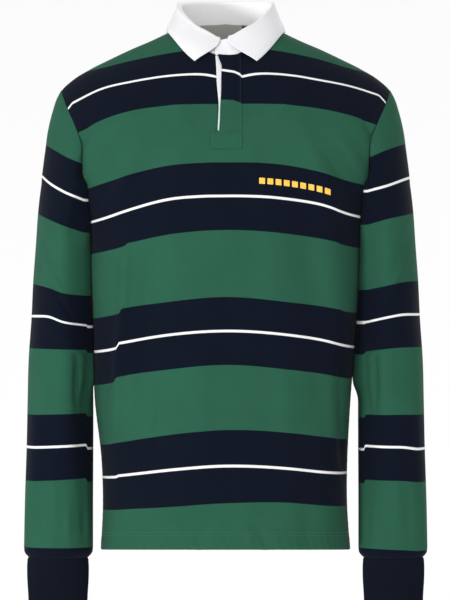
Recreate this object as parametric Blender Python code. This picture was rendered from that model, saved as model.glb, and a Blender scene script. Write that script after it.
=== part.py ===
"""A long-sleeved polo shirt of striped jersey, worn and filled out with no wearer.

Metres, +Z up. The origin is the middle of the neck base, where the wearer holds the shirt up.
The front faces -Y, so the wearer's left is +X. Each piece of cloth is a wall round a hollow.
"""

from typing import NamedTuple

import bpy
import numpy as np

# Cloth
JERSEY = 0.0020
RIB = 0.0024
TWILL = 0.0020
FACING = 0.0012
LABEL = 0.0010
HEM_EXTRA = 0.0010
HEM_HEIGHT = 0.022
HEM_TAPER = 0.013
SEAM = 0.0003

# Body
ARMPIT = -0.265
TIP_HALF = 0.2295
TIP_HEIGHT = -0.080
HEM = -0.722
FRONT_HEM_RISE = 0.009
SIDE_SQUARENESS = 2.4
ROLL = 0.100
ROLL_SQUARENESS = 2.2
EDGE_FADE = 2.5

# Neck
NECK_HALF = 0.072
NECK_FRONT = 0.071
NECK_BACK = 0.058
NECK_SPREAD = 0.9
FOLD_HALF = 0.0665
FOLD_FRONT = 0.0620
FOLD_BACK = 0.0545
LAP_OVER = -11.9
LAP_UNDER = 2.4
LAP_RAMP = 45.0
LEAF_HALF = 0.0825
LEAF_FRONT = 0.0940
LEAF_BACK = 0.0810
LEAF_START_FOLD = 14.3
LEAF_START_EDGE = 31.6
LEAF_CLEAR = 0.0008
LEAF_BULGE = 0.004
LEAF_FRONT_BULGE = 0.005
LEAF_ROLL_CLEAR = 0.0007
LEAF_TUCK = 130.0
LEAF_SWING = 0.5
LEAF_OFF_BAND = 0.003
LEAF_LANDING = 0.30
LEAF_REST_TILT = 0.5

# Placket
SLOT_HALF = 0.0133
SLOT_BOTTOM_ROW = 5
FLAP_STITCHED = 0.0222
FLAP_BASE = -0.167
BOX_TOP = -0.141
BOX_LEFT = -0.0198
FACING_LEFT = -0.0240
FACING_RIGHT = 0.0130
FACING_BOTTOM = -0.152
TRIM_LIFT = 0.0006
FACING_LIFT = 0.0012
FLAP_TOP_CLEAR = 0.0005
TUCK_BELOW_NECK = 0.0015
FRONT_NECKLINE = -0.036

# Label
LABEL_CENTRE = -0.0055
LABEL_HALF = 0.0285
LABEL_HEIGHT = 0.030
LABEL_LIFT = 0.0016

# Sleeve and cuff
SLEEVE_CLEAR = 0.0020
SLEEVE_EASE = 0.025
SLEEVE_SET = 0.0006
SLEEVE_LEAN = -0.15
SLEEVE_END = -0.7175
ARMHOLE_FADE = 0.40
CUFF_CENTRE = 0.2338
CUFF_FORWARD = 0.022

# Grid sizes
HALF_COLUMNS = 14
NECK_COLUMN = 6
LOW_ROWS = 9
HIGH_ROWS = 13
SLEEVE_AROUND = 20
SLEEVE_ALONG = 15
LEAF_COLUMNS = 36
ROLL_STEPS = 3
FALL_STEPS = 6
TRIM_COLUMNS = 4
TRIM_ROWS = 8
HALVINGS = 40
SHARP_ANGLE = 50.0


class BodyLevel(NamedTuple):
    """One level of the body. Above the armpit the half-widths go on into the wearer's shoulder."""

    height: float
    right: float
    left: float
    front: float
    back: float


class ArmholeLevel(NamedTuple):
    """The armhole's distance from the middle, as a part of the body's half-width at that level."""

    height: float
    front: float
    back: float


class RidgePoint(NamedTuple):
    """The shoulder line's height at a distance from the middle."""

    out: float
    height: float


class SleeveLevel(NamedTuple):
    """How far the sleeve's outer and inner sides are from the middle."""

    height: float
    outer: float
    inner: float


class SleeveDepth(NamedTuple):
    """The sleeve's half-depth and how far it hangs forward, at a part of its length."""

    along: float
    half: float
    forward: float


class PouchLevel(NamedTuple):
    """The sleeve's end, which falls over the cuff: its drop and its size against the last level."""

    drop: float
    scale: float


class CuffLevel(NamedTuple):
    """One level of the cuff: its height, half-width and half-depth."""

    height: float
    half: float
    depth: float


class FoldLevel(NamedTuple):
    """The collar's fold line: its height at an angle round the neck from the middle front."""

    angle: float
    height: float


class FlapLevel(NamedTuple):
    """Where the flap's free edge runs at a height."""

    height: float
    edge: float


class Crease(NamedTuple):
    """A soft ridge (height over 0) or trough in the cloth, seen from the front or from the back."""

    across: float
    up: float
    length: float
    width: float
    lean: float
    height: float


class SleeveCrease(NamedTuple):
    """A soft ridge or trough on the sleeve. The turn is in degrees from the outer side, forward first."""

    turn: float
    along: float
    length: float
    width: float
    height: float


BODY = (
    BodyLevel(-0.722, 0.1746, 0.1740, 0.136, 0.122),
    BodyLevel(-0.660, 0.1718, 0.1700, 0.133, 0.118),
    BodyLevel(-0.600, 0.1735, 0.1705, 0.131, 0.113),
    BodyLevel(-0.514, 0.1830, 0.1745, 0.130, 0.107),
    BodyLevel(-0.430, 0.1864, 0.1815, 0.130, 0.104),
    BodyLevel(-0.350, 0.1907, 0.1880, 0.130, 0.107),
    BodyLevel(-0.265, 0.1950, 0.1940, 0.127, 0.113),
    BodyLevel(-0.220, 0.2050, 0.2045, 0.123, 0.116),
    BodyLevel(-0.180, 0.2210, 0.2210, 0.118, 0.117),
    BodyLevel(-0.140, 0.2350, 0.2350, 0.110, 0.116),
    BodyLevel(-0.100, 0.2450, 0.2450, 0.097, 0.114),
    BodyLevel(-0.060, 0.2500, 0.2500, 0.084, 0.112),
    BodyLevel(-0.030, 0.2520, 0.2520, 0.073, 0.112),
    BodyLevel(0.000, 0.2540, 0.2540, 0.068, 0.112),
    BodyLevel(0.040, 0.2560, 0.2560, 0.066, 0.112),
)

ARMHOLE = (
    ArmholeLevel(-0.265, 1.000, 1.000),
    ArmholeLevel(-0.235, 0.972, 0.982),
    ArmholeLevel(-0.210, 0.944, 0.964),
    ArmholeLevel(-0.185, 0.905, 0.932),
    ArmholeLevel(-0.160, 0.873, 0.906),
    ArmholeLevel(-0.135, 0.876, 0.905),
    ArmholeLevel(-0.110, 0.900, 0.916),
    ArmholeLevel(-0.095, 0.914, 0.923),
)

RIDGE = (
    RidgePoint(0.000, 0.0270),
    RidgePoint(0.036, 0.0210),
    RidgePoint(0.072, 0.0040),
    RidgePoint(0.102, -0.0105),
    RidgePoint(0.133, -0.0238),
    RidgePoint(0.1625, -0.0378),
    RidgePoint(0.1905, -0.0518),
    RidgePoint(0.2135, -0.0660),
    RidgePoint(TIP_HALF, TIP_HEIGHT),
    RidgePoint(0.2500, -0.1050),
)

SLEEVE = (
    SleeveLevel(-0.740, 0.2815, 0.1848),
    SleeveLevel(-0.654, 0.2800, 0.1850),
    SleeveLevel(-0.570, 0.2775, 0.1848),
    SleeveLevel(-0.514, 0.2765, 0.1850),
    SleeveLevel(-0.458, 0.2752, 0.1868),
    SleeveLevel(-0.402, 0.2715, 0.1892),
    SleeveLevel(-0.346, 0.2690, 0.1900),
    SleeveLevel(-0.290, 0.2650, 0.1900),
    SleeveLevel(-0.265, 0.2635, 0.1900),
    SleeveLevel(-0.206, 0.2575, 0.1900),
    SleeveLevel(-0.164, 0.2520, 0.1900),
    SleeveLevel(-0.136, 0.2480, 0.1900),
    SleeveLevel(-0.108, 0.2410, 0.1900),
    SleeveLevel(-0.094, 0.2365, 0.1900),
    SleeveLevel(TIP_HEIGHT, TIP_HALF, 0.1900),
)

SLEEVE_DEPTH = (
    SleeveDepth(0.00, 0.069, 0.000),
    SleeveDepth(0.15, 0.073, 0.001),
    SleeveDepth(0.35, 0.069, 0.004),
    SleeveDepth(0.55, 0.061, 0.010),
    SleeveDepth(0.75, 0.052, 0.016),
    SleeveDepth(1.00, 0.038, CUFF_FORWARD),
)

POUCH = (
    PouchLevel(0.0080, 0.985),
    PouchLevel(0.0130, 0.935),
    PouchLevel(0.0160, 0.875),
)

CUFF = (
    CuffLevel(-0.7338, 0.0422, 0.0330),
    CuffLevel(-0.7480, 0.0420, 0.0290),
    CuffLevel(-0.7740, 0.0418, 0.0250),
    CuffLevel(-0.8000, 0.0416, 0.0240),
)

FOLD = (
    FoldLevel(0.0, -0.0112),
    FoldLevel(14.0, -0.0104),
    FoldLevel(21.0, -0.0056),
    FoldLevel(36.0, 0.0043),
    FoldLevel(62.0, 0.0245),
    FoldLevel(90.0, 0.0380),
    FoldLevel(120.0, 0.0416),
    FoldLevel(180.0, 0.0452),
)

FLAP = (
    FlapLevel(-0.180, -0.0093),
    FlapLevel(-0.139, -0.0093),
    FlapLevel(-0.105, -0.0074),
    FlapLevel(-0.075, -0.0058),
    FlapLevel(-0.055, -0.0060),
    FlapLevel(-0.034, -0.0094),
)

FRONT_CREASES = (
    Crease(-0.145, -0.42, 0.130, 0.020, 0.05, 0.0050),
    Crease(-0.112, -0.45, 0.120, 0.018, 0.04, -0.0035),
    Crease(0.150, -0.36, 0.120, 0.018, -0.10, 0.0045),
    Crease(0.118, -0.40, 0.110, 0.018, -0.08, -0.0030),
    Crease(-0.150, -0.60, 0.090, 0.016, 0.12, 0.0035),
    Crease(0.140, -0.62, 0.080, 0.016, -0.06, 0.0030),
    Crease(-0.135, -0.20, 0.060, 0.016, 0.45, 0.0030),
    Crease(0.135, -0.20, 0.060, 0.016, -0.45, 0.0030),
)

BACK_CREASES = (
    Crease(-0.120, -0.44, 0.150, 0.020, 0.10, 0.0055),
    Crease(-0.080, -0.48, 0.120, 0.018, 0.06, -0.0040),
    Crease(0.125, -0.42, 0.140, 0.020, -0.08, 0.0055),
    Crease(0.088, -0.50, 0.130, 0.018, -0.05, -0.0035),
    Crease(0.020, -0.58, 0.100, 0.022, 0.03, 0.0035),
    Crease(-0.140, -0.19, 0.060, 0.016, 0.50, 0.0035),
    Crease(0.140, -0.20, 0.060, 0.016, -0.50, 0.0035),
)


SLEEVE_CREASES = (
    SleeveCrease(136.0, 0.62, 0.260, 15.0, -0.0040),
    SleeveCrease(100.0, 0.52, 0.200, 17.0, 0.0030),
    SleeveCrease(60.0, 0.36, 0.070, 26.0, -0.0030),
    SleeveCrease(48.0, 0.72, 0.160, 20.0, 0.0025),
    SleeveCrease(280.0, 0.44, 0.060, 30.0, -0.0035),
    SleeveCrease(250.0, 0.60, 0.220, 18.0, 0.0035),
    SleeveCrease(312.0, 0.56, 0.070, 26.0, 0.0030),
)


def smooth(at, knots, values):
    """Cubic curve through the knots, each with the mean slope of its neighbours."""
    knots = np.asarray(knots, float)
    values = np.asarray(values, float)
    slopes = np.gradient(values, knots)
    at = np.clip(at, knots[0], knots[-1])
    i = np.clip(np.searchsorted(knots, at, side="right") - 1, 0, len(knots) - 2)
    span = knots[i + 1] - knots[i]
    t = (at - knots[i]) / span
    start = (1 + 2 * t) * (1 - t) ** 2 * values[i] + t * (1 - t) ** 2 * span * slopes[i]
    end = t * t * (3 - 2 * t) * values[i + 1] + t * t * (t - 1) * span * slopes[i + 1]
    return start + end


def look_up(table, name, at):
    """The named column of a table at one place or many, along the table's first column."""
    rows = sorted(table)
    return smooth(at, [row[0] for row in rows], [getattr(row, name) for row in rows])


def ease(t):
    """Goes smoothly from 0 to 1."""
    t = np.clip(t, 0.0, 1.0)
    return t * t * (3 - 2 * t)


def half_width(x, z):
    """The body's half-width at a height, on the side that x is on."""
    return np.where(x < 0, look_up(BODY, "right", z), look_up(BODY, "left", z))


def relief(x, z, creases):
    """How far the creases stand out of the smooth body."""
    total = np.zeros(np.broadcast(x, z).shape)
    for crease in creases:
        along = (z - crease.up) / crease.length
        aside = (x - crease.across - crease.lean * (z - crease.up)) / crease.width
        total = total + crease.height * np.exp(-(along**2) - aside**2)
    return total


def depth(x, z, face):
    """How far the cloth stands before or behind the middle plane: a squared ellipse that rolls over the shoulder."""
    side = np.clip(np.abs(x) / half_width(x, z), 0, 1)
    girth = (1 - side**SIDE_SQUARENESS) ** (1 / SIDE_SQUARENESS)
    below = np.clip((look_up(RIDGE, "height", np.abs(x)) - z) / ROLL, 0, 1)
    roll = (1 - (1 - below) ** ROLL_SQUARENESS) ** (1 / ROLL_SQUARENESS)
    creases = FRONT_CREASES if face == "front" else BACK_CREASES
    return (look_up(BODY, face, z) + relief(x, z, creases)) * girth * roll


def height_at(x, y, face):
    """The height where the cloth stands y away from the middle plane, found by halving."""
    high = look_up(RIDGE, "height", np.abs(x))
    low = high - ROLL
    for _ in range(HALVINGS):
        middle = (low + high) / 2
        deep = depth(x, middle, face) > y
        low = np.where(deep, middle, low)
        high = np.where(deep, high, middle)
    return (low + high) / 2


def neck_depth(x, face):
    """The neck's ellipse seen from above."""
    deep = NECK_FRONT if face == "front" else NECK_BACK
    return deep * np.sqrt(np.clip(1 - (x / NECK_HALF) ** 2, 0, 1))


def column_places():
    """Places of the columns across a panel, from -1 to 1. The first beside the middle bounds the placket's slot."""
    slot = np.arcsin(SLOT_HALF / look_up(BODY, "left", ARMPIT)) / (np.pi / 2)
    half = np.linspace(slot, 1, HALF_COLUMNS)
    return np.concatenate([-half[::-1], [0.0], half])


def top_half(across):
    """Distance from the middle of each column's top end: round the neck, then along the shoulder."""
    neck = column_places()[HALF_COLUMNS + NECK_COLUMN]
    places = np.abs(across)
    turn = np.clip(places / neck, 0, 1) ** NECK_SPREAD * np.pi / 2
    beyond = np.clip((places - neck) / (1 - neck), 0, 1)
    return NECK_HALF * np.sin(turn) + (TIP_HALF - NECK_HALF) * beyond


def top_height(x, face):
    """Height of the panel's top edge: the neckline, or the shoulder seam."""
    inside = np.abs(x) < NECK_HALF - 1e-6
    neckline = height_at(x, neck_depth(x, face), face)
    return np.where(inside, neckline, look_up(RIDGE, "height", np.abs(x)))


def armhole_half(z, x_side, face):
    """Distance of the armhole from the middle at a height."""
    heights = [row.height for row in ARMHOLE] + [TIP_HEIGHT]
    parts = [getattr(row, face) for row in ARMHOLE]
    parts.append(TIP_HALF / float(half_width(x_side, TIP_HEIGHT)))
    return half_width(x_side, z) * smooth(z, heights, parts)


def armhole_height(part):
    """Height on the armhole at a part of the way from the armpit to the shoulder's tip."""
    return ARMPIT + (TIP_HEIGHT - ARMPIT) * (1 - np.cos(np.pi * part)) / 2


def panel_plan(face):
    """x and z of a panel's grid, rows from hem to top and columns from -X to +X."""
    across = column_places()[None, :]
    hem = HEM + (FRONT_HEM_RISE * np.cos(across * np.pi / 2) ** 2 if face == "front" else 0 * across)
    low = np.linspace(0, 1, LOW_ROWS + 1)[:-1, None]
    low_z = hem + (ARMPIT - hem) * low
    low_x = half_width(across, low_z) * np.sin(across * np.pi / 2)

    high = np.linspace(0, 1, HIGH_ROWS + 1)[:, None]
    top_x = np.sign(across) * top_half(across)
    top_z = top_height(top_x, face)
    edge = np.abs(across) ** EDGE_FADE
    rise = (1 - edge) * np.sin(high * np.pi / 2) + edge * (1 - np.cos(high * np.pi)) / 2
    high_z = ARMPIT + (top_z - ARMPIT) * rise
    base_x = half_width(across, ARMPIT + 0 * across) * np.sin(across * np.pi / 2)
    high_x = base_x + (top_x - base_x) * ease(high)
    for column in (0, -1):
        side = across[0, column]
        seam = side * armhole_half(armhole_height(high[:, 0]), side, face)
        pull = (seam - high_x[:, column])[:, None]
        high_x = high_x + pull * edge * (np.sign(across) == side)
    return np.vstack([low_x, high_x]), np.vstack([low_z, high_z])


def on_body(x, z, face, lift=0.0):
    """Points on the front or back, with half a seam between the two."""
    out = -1.0 if face == "front" else 1.0
    y = out * (depth(x, z, face) + SEAM / 2)
    points = np.stack([x, y, z], axis=-1)
    if lift:
        points = points + lift * grid_normals(points, face == "back")
    return points


def grid_normals(points, flip=False, wrap=False):
    """Unit normals of a grid: across its columns, then up its rows."""
    up = np.gradient(points, axis=0)
    if wrap:
        along = (np.roll(points, -1, axis=1) - np.roll(points, 1, axis=1)) / 2
    else:
        along = np.gradient(points, axis=1)
    normal = np.cross(along, up)
    normal = normal / np.maximum(np.linalg.norm(normal, axis=-1, keepdims=True), 1e-12)
    return -normal if flip else normal


def quads(first, second, third, fourth):
    """Faces with these corners, as rows."""
    return np.stack([first.ravel(), second.ravel(), third.ravel(), fourth.ravel()], axis=1)


def wall_faces(rows, columns, keep, flip, wrap):
    """Faces of a wall: the outer grid, the inner grid turned round, and a rim on every open edge."""
    next_column = (np.arange(columns) + 1) % columns if wrap else np.arange(1, columns)
    this_column = np.arange(len(next_column))
    index = np.arange(rows * columns).reshape(rows, columns)
    a = index[:-1][:, this_column]
    b = index[:-1][:, next_column]
    c = index[1:][:, next_column]
    d = index[1:][:, this_column]
    inner = rows * columns
    faces = [quads(a, b, c, d)[keep.ravel()], quads(d, c, b, a)[keep.ravel()] + inner]
    padded = np.pad(keep, 1)
    if wrap:
        padded[1:-1, 0] = keep[:, -1]
        padded[1:-1, -1] = keep[:, 0]
    centre = padded[1:-1, 1:-1]
    edges = (
        (padded[:-2, 1:-1], a, b),
        (padded[1:-1, 2:], b, c),
        (padded[2:, 1:-1], c, d),
        (padded[1:-1, :-2], d, a),
    )
    for beyond, start, end in edges:
        open_edge = centre & ~beyond
        faces.append(quads(end[open_edge], start[open_edge], start[open_edge] + inner, end[open_edge] + inner))
    faces = np.vstack(faces)
    return faces[:, ::-1] if flip else faces


def wall(name, points, thickness, material, flip=False, wrap=False, keep=None, inward=None):
    """A closed wall of cloth under a grid of outer points. inward can replace the normals."""
    rows, columns = points.shape[:2]
    if inward is None:
        inward = -grid_normals(points, flip, wrap)
    if keep is None:
        keep = np.ones((rows - 1, columns if wrap else columns - 1), bool)
    inner = points + inward * np.broadcast_to(thickness, (rows, columns))[..., None]
    faces = wall_faces(rows, columns, keep, flip, wrap)
    vertices = np.concatenate([points.reshape(-1, 3), inner.reshape(-1, 3)])
    used, compact = np.unique(faces, return_inverse=True)
    mesh = bpy.data.meshes.new(name)
    mesh.from_pydata(vertices[used].tolist(), [], compact.reshape(faces.shape).tolist())
    mesh.materials.append(material)
    mesh.shade_smooth()
    mesh.set_sharp_from_angle(angle=np.radians(SHARP_ANGLE))
    piece = bpy.data.objects.new(name, mesh)
    bpy.context.scene.collection.objects.link(piece)
    return piece


def finish(name, colour, roughness):
    """A plain cloth material."""
    material = bpy.data.materials.new(name)
    material.use_nodes = True
    shader = material.node_tree.nodes["Principled BSDF"]
    shader.inputs["Base Color"].default_value = (*colour, 1.0)
    shader.inputs["Roughness"].default_value = roughness
    shader.inputs["Metallic"].default_value = 0.0
    return material


def make_panel(face, material):
    """Front or back: one grid from hem to neckline and shoulders, squared off in the seams' plane."""
    x, z = panel_plan(face)
    back = face == "back"
    points = on_body(x, z, face)
    inward = -grid_normals(points, back)
    inward[: LOW_ROWS + 1, [0, -1], 1] = 0.0
    across = column_places()
    shoulder = np.abs(across) >= across[HALF_COLUMNS + NECK_COLUMN] - 1e-6
    inward[-1, shoulder, 1] = 0.0
    inward = inward / np.linalg.norm(inward, axis=-1, keepdims=True)
    hem = ease((z[0] + HEM_HEIGHT + HEM_TAPER - z) / HEM_HEIGHT)
    thickness = JERSEY + HEM_EXTRA * hem
    keep = np.ones((len(points) - 1, points.shape[1] - 1), bool)
    if not back:
        keep[LOW_ROWS + SLOT_BOTTOM_ROW :, HALF_COLUMNS - 1] = False
    wall(f"{face}_panel", points, thickness, material, flip=back, keep=keep, inward=inward)


def armhole_loop(side, turns):
    """The armhole's edge: turns go from the shoulder's tip forward, under the arm and up the back."""
    part = (1 + np.cos(turns)) / 2
    z = ARMPIT + (TIP_HEIGHT - ARMPIT) * part
    loop = np.empty((len(turns), 3))
    front = np.sin(turns) >= -1e-9
    for face, chosen in (("front", front), ("back", ~front)):
        x = side * armhole_half(z, side, face)
        out = -1.0 if face == "front" else 1.0
        loop[chosen] = np.stack([x, out * depth(x, z, face), z], axis=-1)[chosen]
    return loop


def sleeve_relief(turns, along):
    """How far the creases stand out of the smooth sleeve."""
    total = 0 * turns * along
    for crease in SLEEVE_CREASES:
        aside = (np.degrees(turns) - crease.turn) / crease.width
        ahead = (along - crease.along) / crease.length
        total = total + crease.height * np.exp(-(aside**2) - ahead**2)
    return total


def make_sleeve(side, name, material):
    """A sleeve: rings that start as the armhole and turn into level sections beside the body."""
    turns = np.linspace(0, 2 * np.pi, SLEEVE_AROUND, endpoint=False)[None, :]
    along = np.linspace(0, 1, SLEEVE_ALONG + 1)[:, None]
    outer_z = TIP_HEIGHT + (SLEEVE_END - TIP_HEIGHT) * along
    inner_z = ARMPIT + (SLEEVE_END - ARMPIT) * along
    outer_x = look_up(SLEEVE, "outer", outer_z)
    body = half_width(side, inner_z) + SLEEVE_CLEAR * ease((ARMPIT - inner_z) / SLEEVE_EASE)
    inner_x = np.maximum(look_up(SLEEVE, "inner", inner_z), body)
    deep = look_up(SLEEVE_DEPTH, "half", along)
    forward = look_up(SLEEVE_DEPTH, "forward", along)
    x = (outer_x + inner_x) / 2 + (outer_x - inner_x) / 2 * np.cos(turns)
    z = (outer_z + inner_z) / 2 + (outer_z - inner_z) / 2 * np.cos(turns)
    y = -forward - deep * np.sin(turns)
    points = np.stack([side * x, y, z], axis=-1)
    start = armhole_loop(side, turns[0]) + [side * SLEEVE_SET, 0, 0]
    fade = 1 - ease(along / ARMHOLE_FADE)
    points = points + (start[None] - points[:1]) * fade[..., None]
    flip = side < 0
    points = points + grid_normals(points, flip, wrap=True) * sleeve_relief(turns, along)[..., None]
    last = points[-1]
    centre = last.mean(axis=0)
    ends = [centre + (last - centre) * row.scale - [0, 0, row.drop] for row in POUCH]
    points = np.concatenate([points, ends])
    inward = -grid_normals(points, flip, wrap=True)
    inward[0, :, 0] = side * np.maximum(side * inward[0, :, 0], SLEEVE_LEAN)
    inward[-1, :, 2] = 0.0
    for row in (0, -1):
        inward[row] = inward[row] / np.linalg.norm(inward[row], axis=-1, keepdims=True)
    wall(name, points, JERSEY, material, flip=flip, wrap=True, inward=inward)


def make_cuff(side, name, material):
    """A cuff: level rings below the sleeve's end."""
    turns = np.linspace(0, 2 * np.pi, SLEEVE_AROUND, endpoint=False)[None, :]
    rows = np.array(CUFF)[:, :, None]
    x = side * (CUFF_CENTRE + rows[:, 1] * np.cos(turns))
    y = -CUFF_FORWARD - rows[:, 2] * np.sin(turns)
    z = rows[:, 0] + 0 * turns
    points = np.stack([x, y, z], axis=-1)
    inward = -grid_normals(points, side < 0, wrap=True)
    inward[..., 2] = 0.0
    inward = inward / np.linalg.norm(inward, axis=-1, keepdims=True)
    wall(name, points, RIB, material, flip=side < 0, wrap=True, inward=inward)


def around_neck(angle, half, front, back):
    """x and y on an ellipse round the neck. The angle is in degrees from the middle front."""
    turn = np.radians(angle)
    deep = np.where(np.cos(turn) > 0, front, back)
    return half * np.sin(turn), -deep * np.cos(turn)


def rest_height(x, y):
    """Height of the cloth under a place seen from above, on the front or on the back."""
    return np.where(y < 0, height_at(x, np.abs(y), "front"), height_at(x, np.abs(y), "back"))


def neck_angles():
    """Angles of the panels' neckline points from the middle front to the middle back."""
    across = column_places()[HALF_COLUMNS : HALF_COLUMNS + NECK_COLUMN + 1]
    quarter = np.degrees(np.arcsin(np.clip(top_half(across) / NECK_HALF, 0, 1)))
    return np.concatenate([quarter, 180 - quarter[-2::-1]])


def make_stand(material):
    """The collar band: it starts under the lap, runs round the back and ends over the lap."""
    half = neck_angles()
    corners = np.concatenate([[LAP_UNDER], -half, -360 + half[-2::-1], [-360 + LAP_OVER]])
    place = np.arange(0, len(corners) - 0.5, 0.5)
    angles = np.interp(place, np.arange(len(corners)), corners)
    under = ease((LAP_RAMP + angles) / (LAP_RAMP + LAP_OVER))
    shift = -(RIB + SEAM) * under
    seam_x, seam_y = around_neck(corners, NECK_HALF, NECK_FRONT, NECK_BACK)
    seam = np.stack([seam_x, seam_y, rest_height(seam_x, seam_y) + SEAM], axis=-1)
    low = np.stack([np.interp(place, np.arange(len(corners)), axis) for axis in seam.T], axis=-1)
    low[:, :2] *= 1 + shift[:, None] / NECK_HALF
    top_x, top_y = around_neck(angles, FOLD_HALF + shift, FOLD_FRONT + shift, FOLD_BACK)
    turned = np.abs((angles + 180) % 360 - 180)
    top_z = look_up(FOLD, "height", turned)
    part = np.linspace(0, 1, 3)[:, None]
    top = np.stack([top_x, top_y, top_z], axis=-1)
    points = low + (top - low) * part[..., None]
    wall("collar_stand", points, RIB, material, flip=True)


def make_leaf(material):
    """The collar leaf: it rolls over the band's top edge and falls on the shoulders and chest."""
    part = np.linspace(0, 1, LEAF_COLUMNS + 1)[None, :]
    fold_angle = LEAF_START_FOLD + (360 - 2 * LEAF_START_FOLD) * part
    edge_angle = LEAF_START_EDGE + (360 - 2 * LEAF_START_EDGE) * part
    fold_x, fold_y = around_neck(fold_angle, FOLD_HALF, FOLD_FRONT, FOLD_BACK)
    outward = np.stack([fold_x / FOLD_HALF**2, fold_y / FOLD_FRONT**2, 0 * fold_x], axis=-1)
    outward = outward / np.linalg.norm(outward, axis=-1, keepdims=True)
    turned = np.abs((fold_angle + 180) % 360 - 180)
    fold = np.stack([fold_x, fold_y, look_up(FOLD, "height", turned)], axis=-1)
    rim = fold - outward * RIB / 2
    radius = RIB / 2 + LEAF_ROLL_CLEAR + TWILL
    bend = np.radians(np.linspace(LEAF_TUCK, 0, ROLL_STEPS + 1))[:, None, None]
    up = np.array([0.0, 0.0, 1.0])
    roll = rim + radius * (np.cos(bend) * outward + np.sin(bend) * up)

    edge_x, edge_y = around_neck(edge_angle, LEAF_HALF, LEAF_FRONT, LEAF_BACK)
    edge = np.stack([edge_x, edge_y, rest_height(edge_x, edge_y)], axis=-1)
    rest = LEAF_CLEAR + TWILL
    lift = outward * LEAF_REST_TILT + up
    edge = edge + rest * lift / np.linalg.norm(lift, axis=-1, keepdims=True)
    start = roll[-1:]
    neck_x, neck_y = around_neck(fold_angle, NECK_HALF, NECK_FRONT, NECK_BACK)
    band = np.stack([neck_x, neck_y, rest_height(neck_x, neck_y)], axis=-1) - fold
    down = start + band * LEAF_SWING + outward * LEAF_OFF_BAND
    bulge = LEAF_BULGE + LEAF_FRONT_BULGE * np.clip(np.cos(np.radians(fold_angle)), 0, 1)[..., None]
    near = edge + (start - edge) * LEAF_LANDING + outward * bulge
    t = np.linspace(0, 1, FALL_STEPS + 1)[1:, None, None]
    fall = (1 - t) ** 3 * start + 3 * t * (1 - t) ** 2 * down + 3 * t * t * (1 - t) * near + t**3 * edge
    points = np.concatenate([roll, fall])
    wall("collar_fall", points, TWILL, material, flip=True)


def make_flap(material):
    """The fly of the placket: it lies on the front, free along one edge, with a sewn box at its foot."""
    rows = np.array([FLAP_BASE, (FLAP_BASE + BOX_TOP) / 2, BOX_TOP])
    column = np.linspace(0, 1, TRIM_COLUMNS)[None, :]
    part = np.linspace(0, 1, TRIM_ROWS)[1:, None]
    low_z = rows[:, None] + 0 * column
    low_edge = look_up(FLAP, "edge", low_z)
    low_x = low_edge + (FLAP_STITCHED - low_edge) * column
    neck_edge = look_up(FLAP, "edge", FRONT_NECKLINE)
    neck_x = neck_edge + (FLAP_STITCHED - neck_edge) * column
    neck_z = top_height(neck_x, "front") - FLAP_TOP_CLEAR
    high_z = BOX_TOP + (neck_z - BOX_TOP) * part
    edge = look_up(FLAP, "edge", high_z)
    high_x = edge + (FLAP_STITCHED - edge) * column
    x = np.vstack([low_x, high_x])
    z = np.vstack([low_z, high_z])
    box_x = np.full((len(x), 1), BOX_LEFT)
    x = np.hstack([box_x, x])
    z = np.hstack([z[:, :1], z])
    keep = np.ones((len(x) - 1, x.shape[1] - 1), bool)
    keep[2:, 0] = False
    points = on_body(x, z, "front", TRIM_LIFT + JERSEY)
    wall("placket_flap", points, JERSEY, material, keep=keep)


def make_facing(material):
    """The strip that closes the opening from behind."""
    column = np.linspace(0, 1, TRIM_COLUMNS)[None, :]
    part = np.linspace(0, 1, TRIM_ROWS)[:, None]
    x = FACING_LEFT + (FACING_RIGHT - FACING_LEFT) * column + 0 * part
    top = top_height(x[:1], "front") - TUCK_BELOW_NECK
    z = FACING_BOTTOM + (top - FACING_BOTTOM) * part
    points = on_body(x, z, "front", -(JERSEY + FACING_LIFT))
    wall("placket_facing", points, FACING, material)


def make_label(material):
    """The label inside the back of the neck."""
    column = np.linspace(-1, 1, 7)[None, :]
    part = np.linspace(0, 1, 5)[:, None]
    x = LABEL_CENTRE + LABEL_HALF * column + 0 * part
    top = top_height(x[:1], "back") - TUCK_BELOW_NECK
    z = top - LABEL_HEIGHT * (1 - part)
    points = on_body(x, z, "back", -(JERSEY + LABEL_LIFT))
    wall("neck_label", points, LABEL, material, flip=True)


def main():
    """Builds the shirt."""
    for thing in list(bpy.data.objects):
        bpy.data.objects.remove(thing)
    jersey = finish("striped jersey", (0.026, 0.115, 0.067), 0.85)
    rib = finish("navy rib", (0.010, 0.013, 0.024), 0.85)
    twill = finish("white twill", (0.86, 0.86, 0.88), 0.8)
    woven = finish("grey label", (0.26, 0.25, 0.21), 0.7)
    make_panel("front", jersey)
    make_panel("back", jersey)
    for side, word in ((1.0, "left"), (-1.0, "right")):
        make_sleeve(side, f"sleeve_{word}", jersey)
        make_cuff(side, f"cuff_{word}", rib)
    make_stand(twill)
    make_leaf(twill)
    make_flap(jersey)
    make_facing(twill)
    make_label(woven)


if __name__ == "__main__":
    main()
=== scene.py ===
"""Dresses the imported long-sleeved polo shirt in striped jersey, white twill and navy rib.

Metres, +Z up, the front towards -Y and the wearer's left at +X. Each piece of cloth is a function of
two parameters, worked out on a grid of points, with a wall's thickness on its inner side.
"""

import logging
from dataclasses import dataclass
from enum import Enum
from typing import NamedTuple, Optional, Sequence

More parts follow.
